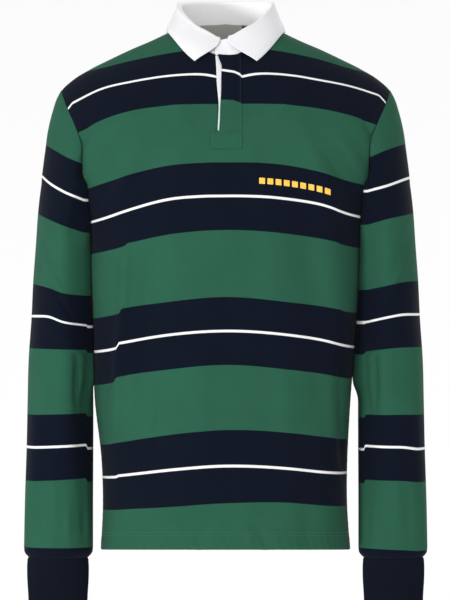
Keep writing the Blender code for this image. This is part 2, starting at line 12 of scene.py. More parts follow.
import bpy
import numpy as np
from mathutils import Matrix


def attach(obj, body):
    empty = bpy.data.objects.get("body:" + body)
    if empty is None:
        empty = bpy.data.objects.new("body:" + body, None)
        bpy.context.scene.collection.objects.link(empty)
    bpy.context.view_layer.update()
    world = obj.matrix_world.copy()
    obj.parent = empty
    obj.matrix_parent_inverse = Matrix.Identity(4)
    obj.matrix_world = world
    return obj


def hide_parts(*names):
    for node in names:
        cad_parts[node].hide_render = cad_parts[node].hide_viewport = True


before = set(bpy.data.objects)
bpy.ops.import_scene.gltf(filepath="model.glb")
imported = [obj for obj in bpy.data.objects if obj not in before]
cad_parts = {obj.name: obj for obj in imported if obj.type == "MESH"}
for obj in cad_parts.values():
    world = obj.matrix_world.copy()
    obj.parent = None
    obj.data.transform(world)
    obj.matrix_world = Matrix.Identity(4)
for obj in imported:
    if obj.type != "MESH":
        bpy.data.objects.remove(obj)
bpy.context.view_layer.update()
LOG = logging.getLogger("polo_shirt")
Array = np.ndarray


class Face(Enum):
    """The two sides of the body."""

    FRONT = "front"
    BACK = "back"

    @property
    def out(self) -> float:
        """Which way the face looks along y."""
        return -1.0 if self is Face.FRONT else 1.0


class BodyLevel(NamedTuple):
    """One level of the body: half-widths on the two sides, and depths before and behind the middle plane."""

    height: float
    right: float
    left: float
    front: float
    back: float


class ArmholeLevel(NamedTuple):
    """The armhole's distance from the middle, as a part of the body's half-width at that level."""

    height: float
    front: float
    back: float


class RidgePoint(NamedTuple):
    """The shoulder line's height at a distance from the middle."""

    out: float
    height: float


class Crease(NamedTuple):
    """A soft ridge (height over 0) or trough that fades out at its ends."""

    across: float
    up: float
    length: float
    width: float
    lean: float
    height: float


class FoldLine(NamedTuple):
    """A pressed fold between two points, and how far the stripes slip down on its outer side."""

    top_across: float
    top_up: float
    foot_across: float
    foot_up: float
    width: float
    height: float
    slip: float


class BodyStripe(NamedTuple):
    """A line of the body's stripes: its distance on the cloth, and its heights at nine places across."""

    cloth: float
    right_far: float
    right_side: float
    right_mid: float
    right_near: float
    middle: float
    left_near: float
    left_mid: float
    left_side: float
    left_far: float


class SleeveStripe(NamedTuple):
    """A line of a sleeve's stripes: its distance on the cloth, and its heights at four places outwards."""

    cloth: float
    inner: float
    mid_inner: float
    mid_outer: float
    outer: float


class AllowanceLevel(NamedTuple):
    """A ring of the seam allowance inside the armhole: how far out and how deep it is from the seam."""

    out: float
    deep: float


class SleeveLevel(NamedTuple):
    """How far the sleeve's outer and inner sides are from the middle."""

    height: float
    outer: float
    inner: float


class SleeveDepth(NamedTuple):
    """The sleeve's half-depth and how far it hangs forward, at a part of its length."""

    along: float
    half: float
    forward: float


class SleeveCrease(NamedTuple):
    """A soft ridge or trough on the sleeve. The turn is in degrees from the outer side, forward first."""

    turn: float
    along: float
    length: float
    width: float
    lean: float
    height: float


class PouchLevel(NamedTuple):
    """The sleeve's end over the cuff: a part of the way, its drop and its size against the last ring."""

    part: float
    drop: float
    scale: float


class CuffLevel(NamedTuple):
    """One level of the cuff: its height, half-width and half-depth."""

    height: float
    half: float
    depth: float


class FoldLevel(NamedTuple):
    """The collar's fold line: its heights on both sides at an angle round the neck from the middle front."""

    angle: float
    left: float
    right: float


class EdgePoint(NamedTuple):
    """Where an edge of the opening runs at a height."""

    height: float
    edge: float


class Sheet(NamedTuple):
    """A grid of outer points and the cloth's own coordinates at them: across, along and a spare."""

    points: Array
    cloth: Array


def table(kind: type, *rows: tuple) -> tuple:
    """Makes a table: a row of the named kind from each tuple."""
    return tuple(kind(*row) for row in rows)


BODY = table(
    BodyLevel,
    (-0.722, 0.1746, 0.1740, 0.136, 0.122),
    (-0.660, 0.1718, 0.1700, 0.133, 0.118),
    (-0.600, 0.1735, 0.1705, 0.131, 0.113),
    (-0.514, 0.1830, 0.1745, 0.130, 0.107),
    (-0.430, 0.1864, 0.1815, 0.130, 0.104),
    (-0.350, 0.1907, 0.1880, 0.130, 0.107),
    (-0.265, 0.1950, 0.1940, 0.127, 0.113),
    (-0.220, 0.2050, 0.2045, 0.123, 0.116),
    (-0.180, 0.2210, 0.2210, 0.118, 0.117),
    (-0.140, 0.2350, 0.2350, 0.110, 0.116),
    (-0.100, 0.2450, 0.2450, 0.097, 0.114),
    (-0.060, 0.2500, 0.2500, 0.084, 0.112),
    (-0.030, 0.2520, 0.2520, 0.073, 0.112),
    (0.000, 0.2540, 0.2540, 0.068, 0.112),
    (0.040, 0.2560, 0.2560, 0.066, 0.112),
)

ARMHOLE = table(
    ArmholeLevel,
    (-0.265, 1.000, 1.000),
    (-0.235, 0.972, 0.982),
    (-0.210, 0.944, 0.964),
    (-0.185, 0.905, 0.932),
    (-0.160, 0.873, 0.906),
    (-0.135, 0.876, 0.905),
    (-0.110, 0.900, 0.916),
    (-0.095, 0.914, 0.923),
)

RIDGE = table(
    RidgePoint,
    (0.000, 0.0270),
    (0.036, 0.0210),
    (0.072, 0.0040),
    (0.102, -0.0105),
    (0.133, -0.0238),
    (0.1625, -0.0378),
    (0.1905, -0.0518),
    (0.2135, -0.0660),
    (0.2295, -0.0800),
    (0.2500, -0.1050),
)

FRONT_CREASES = table(
    Crease,
    (-0.146, -0.42, 0.150, 0.018, 0.05, 0.0090),
    (-0.108, -0.44, 0.140, 0.016, 0.05, -0.0066),
    (0.152, -0.36, 0.130, 0.017, -0.10, 0.0078),
    (0.118, -0.39, 0.120, 0.017, -0.08, -0.0058),
    (-0.150, -0.61, 0.080, 0.016, 0.12, 0.0060),
    (0.142, -0.62, 0.080, 0.016, -0.06, 0.0054),
    (-0.135, -0.20, 0.060, 0.015, 0.45, 0.0050),
    (0.135, -0.20, 0.060, 0.015, -0.45, 0.0050),
    (0.020, -0.36, 0.100, 0.030, 0.05, -0.0030),
    (-0.045, -0.55, 0.090, 0.026, 0.08, 0.0034),
    (0.060, -0.53, 0.100, 0.028, -0.06, -0.0031),
)

BACK_CREASES = table(
    Crease,
    (-0.120, -0.44, 0.150, 0.020, 0.10, 0.0055),
    (-0.080, -0.48, 0.120, 0.018, 0.06, -0.0040),
    (0.125, -0.42, 0.140, 0.020, -0.08, 0.0055),
    (0.088, -0.50, 0.130, 0.018, -0.05, -0.0035),
    (0.020, -0.58, 0.100, 0.022, 0.03, 0.0035),
    (-0.140, -0.19, 0.060, 0.016, 0.50, 0.0035),
    (0.140, -0.20, 0.060, 0.016, -0.50, 0.0035),
)

FINE_FRONT = table(
    Crease,
    (-0.094, -0.530, 0.050, 0.006, 0.02, -0.0034),
    (0.160, -0.545, 0.065, 0.006, -0.05, -0.0051),
    (0.146, -0.530, 0.050, 0.010, -0.04, 0.0031),
    (-0.030, -0.690, 0.022, 0.009, 0.45, -0.0024),
    (0.048, -0.694, 0.020, 0.010, -0.55, -0.0024),
    (-0.196, -0.152, 0.020, 0.006, 0.30, -0.0041),
    (0.199, -0.142, 0.020, 0.006, -0.40, -0.0041),
    (-0.178, -0.175, 0.032, 0.010, 0.55, 0.0031),
    (0.176, -0.178, 0.030, 0.010, -0.60, 0.0029),
    (-0.158, -0.215, 0.040, 0.009, 0.70, -0.0024),
    (0.162, -0.208, 0.036, 0.009, -0.75, -0.0022),
    (-0.070, -0.300, 0.110, 0.014, 0.06, 0.0019),
    (0.062, -0.340, 0.120, 0.015, -0.05, 0.0017),
    (-0.030, -0.520, 0.100, 0.016, 0.03, 0.0020),
    (0.085, -0.560, 0.110, 0.014, -0.06, 0.0024),
    (-0.096, -0.600, 0.080, 0.012, 0.09, -0.0024),
    (-0.060, -0.655, 0.060, 0.013, 0.10, 0.0020),
    (0.030, -0.670, 0.050, 0.015, -0.08, 0.0020),
    (0.112, -0.680, 0.045, 0.012, -0.10, -0.0020),
    (-0.020, -0.215, 0.050, 0.012, 0.20, 0.0014),
    (0.040, -0.185, 0.045, 0.012, -0.25, 0.0015),
    (-0.062, -0.120, 0.034, 0.011, -0.50, 0.0017),
    (0.078, -0.108, 0.030, 0.010, 0.60, 0.0017),
)

FINE_BACK = table(
    Crease,
    (-0.196, -0.150, 0.024, 0.007, 0.30, -0.0036),
    (0.196, -0.150, 0.024, 0.007, -0.30, -0.0036),
    (-0.170, -0.185, 0.040, 0.011, 0.70, 0.0030),
    (0.170, -0.190, 0.038, 0.010, -0.75, 0.0029),
    (-0.150, -0.235, 0.045, 0.010, 0.80, -0.0024),
    (0.152, -0.228, 0.048, 0.010, -0.70, -0.0024),
    (-0.048, -0.330, 0.130, 0.014, 0.08, 0.0019),
    (0.044, -0.360, 0.140, 0.015, -0.07, 0.0021),
    (-0.010, -0.470, 0.110, 0.016, 0.04, -0.0018),
    (0.062, -0.600, 0.100, 0.013, -0.10, 0.0023),
    (-0.070, -0.620, 0.090, 0.013, 0.08, 0.0024),
    (-0.110, -0.670, 0.050, 0.012, 0.16, -0.0019),
    (0.118, -0.665, 0.050, 0.012, -0.14, -0.0019),
    (0.000, -0.080, 0.030, 0.030, 0.00, 0.0015),
    (-0.090, -0.070, 0.030, 0.012, -0.90, 0.0016),
    (0.092, -0.074, 0.030, 0.012, 0.90, 0.0016),
)

FRONT_FOLDS = table(
    FoldLine,
    (-0.1315, -0.245, -0.1565, -0.580, 0.0034, 0.0044, 0.0062),
    (0.1500, -0.230, 0.1620, -0.430, 0.0070, 0.0018, 0.0016),
    (-0.1560, -0.560, -0.1420, -0.665, 0.0050, 0.0012, 0.0015),
)

BACK_FOLDS = table(
    FoldLine,
    (0.1200, -0.230, 0.1460, -0.500, 0.0040, 0.0018, 0.0040),
    (-0.1180, -0.260, -0.1430, -0.560, 0.0045, 0.0018, 0.0035),
)

STRIPE_PLACES = (-0.215, -0.171, -0.130, -0.090, 0.0, 0.090, 0.130, 0.171, 0.215)

BODY_STRIPES = table(
    BodyStripe,
    (-0.4790, -0.7200, -0.7195, -0.7180, -0.7165, -0.7132, -0.7172, -0.7192, -0.7213, -0.7220),
    (-0.4148, -0.6690, -0.6655, -0.6610, -0.6579, -0.6512, -0.6513, -0.6559, -0.6603, -0.6630),
    (-0.3688, -0.6240, -0.6188, -0.6134, -0.6078, -0.6004, -0.6050, -0.6100, -0.6145, -0.6180),
    (-0.3228, -0.5800, -0.5740, -0.5670, -0.5601, -0.5513, -0.5560, -0.5612, -0.5677, -0.5730),
    (-0.2304, -0.4890, -0.4850, -0.4762, -0.4706, -0.4626, -0.4698, -0.4750, -0.4829, -0.4860),
    (-0.1844, -0.4420, -0.4382, -0.4304, -0.4234, -0.4163, -0.4223, -0.4285, -0.4383, -0.4420),
    (-0.1384, -0.3970, -0.3915, -0.3835, -0.3781, -0.3699, -0.3775, -0.3824, -0.3894, -0.3930),
    (-0.0460, -0.3095, -0.3038, -0.2954, -0.2867, -0.2785, -0.2843, -0.2900, -0.2985, -0.3040),
    (0.0000, -0.2710, -0.2622, -0.2498, -0.2388, -0.2319, -0.2365, -0.2430, -0.2555, -0.2620),
    (0.0460, -0.2270, -0.2141, -0.2016, -0.1921, -0.1859, -0.1906, -0.1988, -0.2107, -0.2190),
    (0.1384, -0.1490, -0.1265, -0.1139, -0.1082, -0.1047, -0.1065, -0.1111, -0.1194, -0.1340),
    (0.1844, -0.1020, -0.0815, -0.0725, -0.0663, -0.0618, -0.0641, -0.0703, -0.0776, -0.0900),
    (0.2304, -0.0590, -0.0510, -0.0420, -0.0344, -0.0250, -0.0320, -0.0402, -0.0515, -0.0600),
)

SLEEVE = table(
    SleeveLevel,
    (-0.740, 0.2815, 0.1848),
    (-0.654, 0.2800, 0.1850),
    (-0.570, 0.2775, 0.1848),
    (-0.514, 0.2765, 0.1850),
    (-0.458, 0.2752, 0.1868),
    (-0.402, 0.2715, 0.1892),
    (-0.346, 0.2690, 0.1900),
    (-0.290, 0.2650, 0.1900),
    (-0.265, 0.2635, 0.1900),
    (-0.206, 0.2575, 0.1900),
    (-0.164, 0.2520, 0.1900),
    (-0.136, 0.2480, 0.1900),
    (-0.108, 0.2410, 0.1900),
    (-0.094, 0.2365, 0.1900),
    (-0.080, 0.2295, 0.1900),
)

ALLOWANCE = table(
    AllowanceLevel,
    (-0.0060, 0.0032),
    (-0.0030, 0.0032),
    (-0.0006, 0.0031),
    (0.0004, 0.0022),
    (0.0005, 0.0008),
)

SLEEVE_DEPTH = table(
    SleeveDepth,
    (0.00, 0.069, 0.000),
    (0.15, 0.073, 0.001),
    (0.35, 0.069, 0.004),
    (0.55, 0.061, 0.010),
    (0.75, 0.052, 0.016),
    (1.00, 0.038, 0.022),
)

SLEEVE_CREASES = table(
    SleeveCrease,
    (136.0, 0.62, 0.260, 15.0, 0.0, -0.0040),
    (121.0, 0.535, 0.060, 6.5, 0.0, -0.0080),
    (146.0, 0.500, 0.080, 12.0, 0.0, -0.0050),
    (100.0, 0.52, 0.200, 17.0, 0.0, 0.0030),
    (60.0, 0.36, 0.070, 26.0, 0.0, -0.0030),
    (48.0, 0.72, 0.160, 20.0, 0.0, 0.0025),
    (280.0, 0.44, 0.060, 30.0, 0.0, -0.0035),
    (250.0, 0.60, 0.220, 18.0, 0.0, 0.0035),
    (312.0, 0.56, 0.070, 26.0, 0.0, 0.0030),
)

SLEEVE_FINE = table(
    SleeveCrease,
    (70.0, 0.345, 0.014, 24.0, 90.0, 0.0026),
    (96.0, 0.375, 0.012, 20.0, -70.0, -0.0026),
    (40.0, 0.300, 0.016, 22.0, 60.0, -0.0016),
    (118.0, 0.455, 0.014, 18.0, 120.0, 0.0019),
    (84.0, 0.860, 0.080, 9.0, 10.0, 0.0019),
    (64.0, 0.930, 0.050, 8.0, -14.0, -0.0019),
    (108.0, 0.940, 0.045, 7.0, 12.0, 0.0019),
    (30.0, 0.925, 0.050, 8.0, 0.0, 0.0019),
    (140.0, 0.930, 0.050, 8.0, 0.0, -0.0019),
    (215.0, 0.920, 0.055, 9.0, 10.0, 0.0019),
    (246.0, 0.935, 0.050, 8.0, -10.0, -0.0019),
    (278.0, 0.925, 0.050, 9.0, 6.0, 0.0022),
    (306.0, 0.940, 0.045, 8.0, 0.0, -0.0019),
    (336.0, 0.925, 0.050, 8.0, 0.0, 0.0018),
    (262.0, 0.390, 0.016, 26.0, -80.0, 0.0029),
    (300.0, 0.425, 0.014, 24.0, 90.0, -0.0026),
    (240.0, 0.480, 0.016, 20.0, 70.0, 0.0022),
    (285.0, 0.530, 0.018, 22.0, -60.0, -0.0021),
    (120.0, 0.110, 0.060, 9.0, -60.0, 0.0026),
    (96.0, 0.150, 0.060, 9.0, -50.0, -0.0019),
    (244.0, 0.120, 0.060, 9.0, 60.0, 0.0026),
    (268.0, 0.160, 0.060, 9.0, 50.0, -0.0019),
)

SLEEVE_PLACES = (0.196, 0.225, 0.245, 0.265)

RIGHT_SLEEVE_STRIPES = table(
    SleeveStripe,
    (-0.5072, -0.7174, -0.7174, -0.7174, -0.7174),
    (-0.4148, -0.6214, -0.6227, -0.6238, -0.6248),
    (-0.3688, -0.5752, -0.5763, -0.5772, -0.5781),
    (-0.3228, -0.5309, -0.5317, -0.5323, -0.5328),
    (-0.2304, -0.4429, -0.4423, -0.4418, -0.4413),
    (-0.1844, -0.4090, -0.4043, -0.3971, -0.3964),
    (-0.1384, -0.3680, -0.3645, -0.3574, -0.3523),
    (-0.0460, -0.2810, -0.2712, -0.2626, -0.2524),
    (0.0000, -0.2360, -0.2238, -0.2114, -0.1928),
    (0.0460, -0.1868, -0.1738, -0.1615, -0.1489),
)

LEFT_SLEEVE_STRIPES = table(
    SleeveStripe,
    (-0.5072, -0.7184, -0.7194, -0.7203, -0.7219),
    (-0.4148, -0.6233, -0.6237, -0.6242, -0.6265),
    (-0.3688, -0.5764, -0.5771, -0.5776, -0.5804),
    (-0.3228, -0.5329, -0.5327, -0.5325, -0.5328),
    (-0.2304, -0.4450, -0.4412, -0.4397, -0.4392),
    (-0.1844, -0.4045, -0.3977, -0.3943, -0.3940),
    (-0.1384, -0.3600, -0.3538, -0.3494, -0.3476),
    (-0.0460, -0.2700, -0.2620, -0.2574, -0.2528),
    (0.0000, -0.2235, -0.2156, -0.2079, -0.2001),
    (0.0460, -0.1780, -0.1656, -0.1583, -0.1510),
)

POUCH = table(
    PouchLevel,
    (0.00, 0.0000, 1.000),
    (0.33, 0.0067, 0.985),
    (0.67, 0.0108, 0.935),
    (1.00, 0.0136, 0.875),
)

CUFF = table(
    CuffLevel,
    (-0.8000, 0.0416, 0.0240),
    (-0.7740, 0.0418, 0.0250),
    (-0.7480, 0.0420, 0.0290),
    (-0.7314, 0.0422, 0.0330),
)

COLLAR_FOLD = table(
    FoldLevel,
    (0.0, -0.0132, -0.0132),
    (7.0, -0.0112, -0.0143),
    (14.0, -0.0072, -0.0109),
    (21.0, -0.0024, -0.0062),
    (36.0, 0.0060, 0.0022),
    (62.0, 0.0245, 0.0207),
    (90.0, 0.0380, 0.0362),
    (120.0, 0.0416, 0.0414),
    (180.0, 0.0452, 0.0452),
)

FLAP_EDGE = table(
    EdgePoint,
    (-0.1800, -0.0084),
    (-0.1435, -0.0084),
    (-0.1250, -0.0074),
    (-0.1065, -0.0068),
    (-0.0940, -0.0060),
    (-0.0625, -0.0053),
    (-0.0530, -0.0050),
    (-0.0399, -0.0093),
    (-0.0300, -0.0120),
)

SLOT_EDGE = table(
    EdgePoint,
    (-0.1600, -0.0119),
    (-0.1442, -0.0119),
    (-0.1051, -0.0106),
    (-0.0735, -0.0133),
    (-0.0543, -0.0139),
    (-0.0372, -0.0152),
)


def smooth(at: Array, knots: Sequence[float], values: Sequence[float]) -> Array:
    """Cubic curve through the knots, each with the mean slope of its neighbours.

    Args:
        at: Where the curve is read.
        knots: Rising places of the known values.
        values: The known values.

    Returns:
        The curve's values at those places.
    """
    knots = np.asarray(knots, float)
    values = np.asarray(values, float)
    slopes = np.gradient(values, knots)
    at = np.clip(at, knots[0], knots[-1])
    i = np.clip(np.searchsorted(knots, at, side="right") - 1, 0, len(knots) - 2)
    span = knots[i + 1] - knots[i]
    t = (at - knots[i]) / span
    start = (1 + 2 * t) * (1 - t) ** 2 * values[i] + t * (1 - t) ** 2 * span * slopes[i]
    end = t * t * (3 - 2 * t) * values[i + 1] + t * t * (t - 1) * span * slopes[i + 1]
    return start + end


def look_up(table: Sequence[NamedTuple], name: str, at: Array) -> Array:
    """Reads the named column of a table along its first column.

    Args:
        table: Rows of one NamedTuple class.
        name: The column to read.
        at: Places along the first column.

    Returns:
        The smoothed column at those places.
    """
    rows = sorted(table)
    return smooth(at, [row[0] for row in rows], [getattr(row, name) for row in rows])


def cloth_along(table: Sequence[NamedTuple], places: Sequence[float], x: Array, z: Array) -> Array:
    """Reads the distance on the cloth between the lines of a stripe table, straight from line to line.

    Args:
        table: Rows with a distance on the cloth and the line's heights at the places.
        places: Where across the heights are given.
        x: Places across.
        z: Heights.

    Returns:
        The distance on the cloth, which goes on at the same scale past the last lines.
    """
    lines = [smooth(x, places, row[1:]) for row in table]
    total = table[0].cloth + np.minimum(z - lines[0], 0)
    for below, above, low, high in zip(table, table[1:], lines, lines[1:]):
        total = total + (above.cloth - below.cloth) * np.clip((z - low) / (high - low), 0, 1)
    return total + np.maximum(z - lines[-1], 0)


def ease(t: Array) -> Array:
    """Goes smoothly from 0 to 1."""
    t = np.clip(t, 0.0, 1.0)
    return t * t * (3 - 2 * t)


def bell(distance: Array, width: float) -> Array:
    """A rounded bump: exp(-(distance / width) squared)."""
    return np.exp(-((distance / width) ** 2))


def rounded(part: Array, power: float) -> Array:
    """Falls from 1 to 0 like a squared-off circle as the part goes from 0 to 1."""
    return (1 - part**power) ** (1 / power)


def unit(vectors: Array) -> Array:
    """Scales vectors to a length of 1."""
    return vectors / np.maximum(np.linalg.norm(vectors, axis=-1, keepdims=True), 1e-12)


def steps_with_close_ends(count: int, near: float) -> Array:
    """Even steps from 0 to 1, with one more a short way from each end.

    Args:
        count: How many even steps.
        near: How far the extra places are from the ends.

    Returns:
        The rising places.
    """
    return np.unique(np.concatenate([np.linspace(0, 1, count + 1), [near, 1 - near]]))


def grid_normals(points: Array, flip: bool = False, wrap: bool = False) -> Array:
    """Unit normals of a grid: across its columns, then up its rows.

    Args:
        points: Grid of points.
        flip: Whether the outer side is the other one.
        wrap: Whether the last column meets the first.

    Returns:
        A unit vector at each point.
    """
    up = np.gradient(points, axis=0)
    if wrap:
        along = (np.roll(points, -1, axis=1) - np.roll(points, 1, axis=1)) / 2
    else:
        along = np.gradient(points, axis=1)
    normal = unit(np.cross(along, up))
    return -normal if flip else normal


def running_length(points: Array, axis: int) -> Array:
    """Distance along a grid's rows or columns from their first point.

    Args:
        points: Grid of points.
        axis: 0 to run up the rows, 1 to run across the columns.

    Returns:
        The distance at each point.
    """
    steps = np.linalg.norm(np.diff(points, axis=axis), axis=-1)
    start = np.zeros_like(np.take(steps, [0], axis=axis))
    return np.concatenate([start, np.cumsum(steps, axis=axis)], axis=axis)


def new_object(name: str, vertices: Array, faces: list, material: bpy.types.Material) -> bpy.types.Object:
    """Makes a smooth-shaded mesh object at the origin.

    Args:
        name: The piece's name.
        vertices: Points, one a row.
        faces: Lists of point numbers.
        material: The piece's finish.

    Returns:
        The object, linked to the scene.
    """
    mesh = bpy.data.meshes.new(name)
    mesh.from_pydata(vertices.tolist(), [], faces)
    mesh.materials.append(material)
    mesh.shade_smooth()
    piece = bpy.data.objects.new(name, mesh)
    bpy.context.scene.collection.objects.link(piece)
    return piece


def put_cloth(piece: bpy.types.Object, cloth: Array) -> None:
    """Stores the cloth's own coordinates, which the materials read.

    Args:
        piece: The mesh object.
        cloth: Across, along and spare, for each vertex.
    """
    attribute = piece.data.attributes.new("cloth", "FLOAT_VECTOR", "POINT")
    attribute.data.foreach_set("vector", np.ascontiguousarray(cloth, np.float32).ravel())


def quads(first: Array, second: Array, third: Array, fourth: Array) -> Array:
    """Faces with these corners, as rows."""
    return np.stack([first.ravel(), second.ravel(), third.ravel(), fourth.ravel()], axis=1)


ROUND_RIM = 0.42


def open_edges(keep: Array, wrap: bool, corners: Sequence[Array]) -> tuple[Array, Array]:
    """The edges on which a kept cell meets no other.

    Args:
        keep: Which cells are kept.
        wrap: Whether the last column meets the first.
        corners: The point numbers at the cells' four corners.

    Returns:
        The point numbers at which the edges start, and those at which they end.
    """
    padded = np.pad(keep, 1)
    if wrap:
        padded[1:-1, 0] = keep[:, -1]
        padded[1:-1, -1] = keep[:, 0]
    a, b, c, d = corners
    sides = (
        (padded[:-2, 1:-1], a, b),
        (padded[1:-1, 2:], b, c),
        (padded[2:, 1:-1], c, d),
        (padded[1:-1, :-2], d, a),
    )
    start = np.concatenate([first[keep & ~beyond] for beyond, first, _ in sides])
    end = np.concatenate([second[keep & ~beyond] for beyond, _, second in sides])
    return start, end


def cloth_wall(
    name: str,
    sheet: Sheet,
    thickness: float | Array,
    material: bpy.types.Material,
    flip: bool = False,
    wrap: bool = False,
    keep: Optional[Array] = None,
    inward: Optional[Array] = None,
) -> bpy.types.Object:
    """Makes a closed wall: the outer grid, an inner grid behind it, and a rounded rim on every edge.

    The inner point is the outer one plus thickness times the inward normal. The rim's middle stands out
    from the edge by a part of the thickness, across the edge and in the cloth's surface.

    Args:
        name: The piece's name.
        sheet: Outer points and cloth coordinates.
        thickness: One thickness, or one for each point.
        material: The piece's finish.
        flip: Whether the outer side is behind the grid.
        wrap: Whether the last column meets the first.
        keep: Cells that are kept; all of them if left out.
        inward: Unit vectors that replace the inward normals.

    Returns:
        The wall as an object.
    """
    rows, columns = sheet.points.shape[:2]
    cells = columns if wrap else columns - 1
    if inward is None:
        inward = -grid_normals(sheet.points, flip, wrap)
    if keep is None:
        keep = np.ones((rows - 1, cells), bool)
    thick = np.broadcast_to(thickness, (rows, columns)).reshape(-1, 1)
    outer, inward = sheet.points.reshape(-1, 3), inward.reshape(-1, 3)
    inner = outer + inward * thick
    index = np.arange(rows * columns).reshape(rows, columns)
    beside = np.roll(index, -1, axis=1)
    a, b = index[:-1, :cells], beside[:-1, :cells]
    d, c = index[1:, :cells], beside[1:, :cells]
    start, end = open_edges(keep, wrap, (a, b, c, d))
    rim, places = np.unique(np.concatenate([start, end]), return_inverse=True)
    side = unit(np.cross(outer[end] - outer[start], -inward[start])) * (-1.0 if flip else 1.0)
    outward = np.zeros((len(rim), 3))
    np.add.at(outward, places, np.concatenate([side, side]))
    middle = (outer[rim] + inner[rim]) / 2 + unit(outward) * thick[rim] * ROUND_RIM
    behind = len(outer)
    middle_start, middle_end = np.split(2 * behind + places, 2)
    faces = [
        quads(a, b, c, d)[keep.ravel()],
        quads(d, c, b, a)[keep.ravel()] + behind,
        quads(end, start, middle_start, middle_end),
        quads(middle_end, middle_start, start + behind, end + behind),
    ]
    all_faces = np.vstack(faces)[:, :: -1 if flip else 1]
    cloth = sheet.cloth.reshape(-1, 3)
    used, compact = np.unique(all_faces, return_inverse=True)
    vertices = np.concatenate([outer, inner, middle])[used]
    piece = new_object(name, vertices, compact.reshape(all_faces.shape).tolist(), material)
    put_cloth(piece, np.concatenate([cloth, cloth, cloth[rim]])[used])
    return piece


def joined(
    name: str, parts: Sequence[tuple[Array, Sequence[Array]]], material: bpy.types.Material
) -> bpy.types.Object:
    """Makes one object of several parts.

    Args:
        name: The piece's name.
        parts: The vertices and the tables of faces of each part.
        material: The piece's finish.

    Returns:
        The object.
    """
    faces: list = []
    count = 0
    for vertices, tables in parts:
        for corners in tables:
            faces += (corners + count).tolist()
        count += len(vertices)
    return new_object(name, np.concatenate([vertices for vertices, _ in parts]), faces, material)


@dataclass(frozen=True)
class Thread:
    """A sewn line: how long its stitches are, how far apart they start and how thick the thread is."""

    stitch: float = 0.0026
    pitch: float = 0.0032
    radius: float = 0.00028
    rings: int = 5
    sides: int = 6

    def along(self, path: Array, normals: Array) -> tuple[Array, list[Array]]:
        """Lays stitches on a path. Each is a small bar whose ends dive into the cloth.

        A ring at t from -1 to 1 has the radius times the root of 1 - 0.9 t squared, and stands off the cloth
        by the radius times 0.5 - 1.1 t to the fourth.

        Args:
            path: Points on the cloth in order.
            normals: The cloth's outward normals there.

        Returns:
            Vertices of all the stitches, and their faces as two tables: the sides, then the end caps.
        """
        lengths = np.concatenate([[0.0], np.cumsum(np.linalg.norm(np.diff(path, axis=0), axis=1))])
        count = max(1, int(lengths[-1] / self.pitch))
        centres = (np.arange(count) + 0.5) * lengths[-1] / count
        t = np.linspace(-1, 1, self.rings)
        at = centres[:, None] + t[None, :] * self.stitch / 2
        line = np.stack([np.interp(at, lengths, path[:, k]) for k in range(3)], axis=-1)
        up = np.stack([np.interp(at, lengths, normals[:, k]) for k in range(3)], axis=-1)
        ahead = unit(line[:, -1:] - line[:, :1])
        aside = unit(np.cross(ahead, up))
        up = np.cross(aside, ahead)
        angle = np.linspace(0, 2 * np.pi, self.sides, endpoint=False)
        radius = self.radius * np.sqrt(1 - 0.9 * t**2)
        lift = self.radius * (0.5 - 1.1 * t**4)
        ring = aside[:, :, None] * np.cos(angle)[:, None] + up[:, :, None] * np.sin(angle)[:, None]
        points = line[:, :, None] + up[:, :, None] * lift[:, None, None] + ring * radius[:, None, None]
        each = self.rings * self.sides
        index = np.arange(each).reshape(self.rings, self.sides)
        after = np.roll(index, -1, axis=1)
        sides = quads(index[:-1], after[:-1], after[1:], index[1:])
        starts = (np.arange(count) * each)[:, None, None]
        caps = np.stack([index[0][::-1], index[-1]])
        faces = [(sides[None] + starts).reshape(-1, 4), (caps[None] + starts).reshape(-1, self.sides)]
        return points.reshape(-1, 3), faces


def declare(piece: bpy.types.Object, replaces: str = "") -> None:
    """Puts a piece on the root body and says what it is.

    Args:
        piece: The dressed piece.
        replaces: The solid that it stands for, where it stands for one.
    """
    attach(piece, "root")
    if replaces:
        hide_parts(replaces)
    LOG.info("%s: %d faces", piece.name, len(piece.data.polygons))


def sew(
    name: str, thread: Thread, lines: Sequence[tuple[Array, Array]], material: bpy.types.Material
) -> bpy.types.Object:
    """Joins the stitches of several lines into one piece.

    Args:
        name: The piece's name.
        thread: The stitches' sizes.
        lines: A path and its normals for each line.
        material: The thread's finish.

    Returns:
        The stitches as one object.
    """
    return joined(name, [thread.along(path, normals) for path, normals in lines], material)


class Graph:
    """Adds nodes and links to one node tree."""

    def __init__(self, tree: bpy.types.NodeTree) -> None:
        """Keeps the tree to add to."""
        self.tree = tree

    def node(self, kind: str, links: Optional[dict] = None, **settings: object) -> bpy.types.Node:
        """Adds a node.

        Args:
            kind: Blender's name of the node type.
            links: A socket or a plain value for each named or numbered input.
            settings: The node's own properties.

        Returns:
            The new node.
        """
        made = self.tree.nodes.new(kind)
        for name, value in settings.items():
            setattr(made, name, value)
        for name, value in (links or {}).items():
            if isinstance(value, bpy.types.NodeSocket):
                self.tree.links.new(value, made.inputs[name])
            else:
                made.inputs[name].default_value = value
        return made

    def link(self, socket: bpy.types.NodeSocket, node: bpy.types.Node, name: str) -> None:
        """Links a socket to a node's named input."""
        self.tree.links.new(socket, node.inputs[name])

    def group(self, tree: bpy.types.NodeTree, links: dict) -> bpy.types.Node:
        """Adds a node group with these inputs."""
        return self.node("ShaderNodeGroup", links, node_tree=tree)

    def math(self, operation: str, *values: object) -> bpy.types.NodeSocket:
        """Adds a Math node and returns its result."""
        return self.node("ShaderNodeMath", dict(enumerate(values)), operation=operation).outputs[0]

    def mix(self, factor: object, first: object, second: object) -> bpy.types.NodeSocket:
        """Adds a colour mix and returns its result."""
        made = self.node("ShaderNodeMix", {0: factor, 6: first, 7: second}, data_type="RGBA")
        return made.outputs[2]


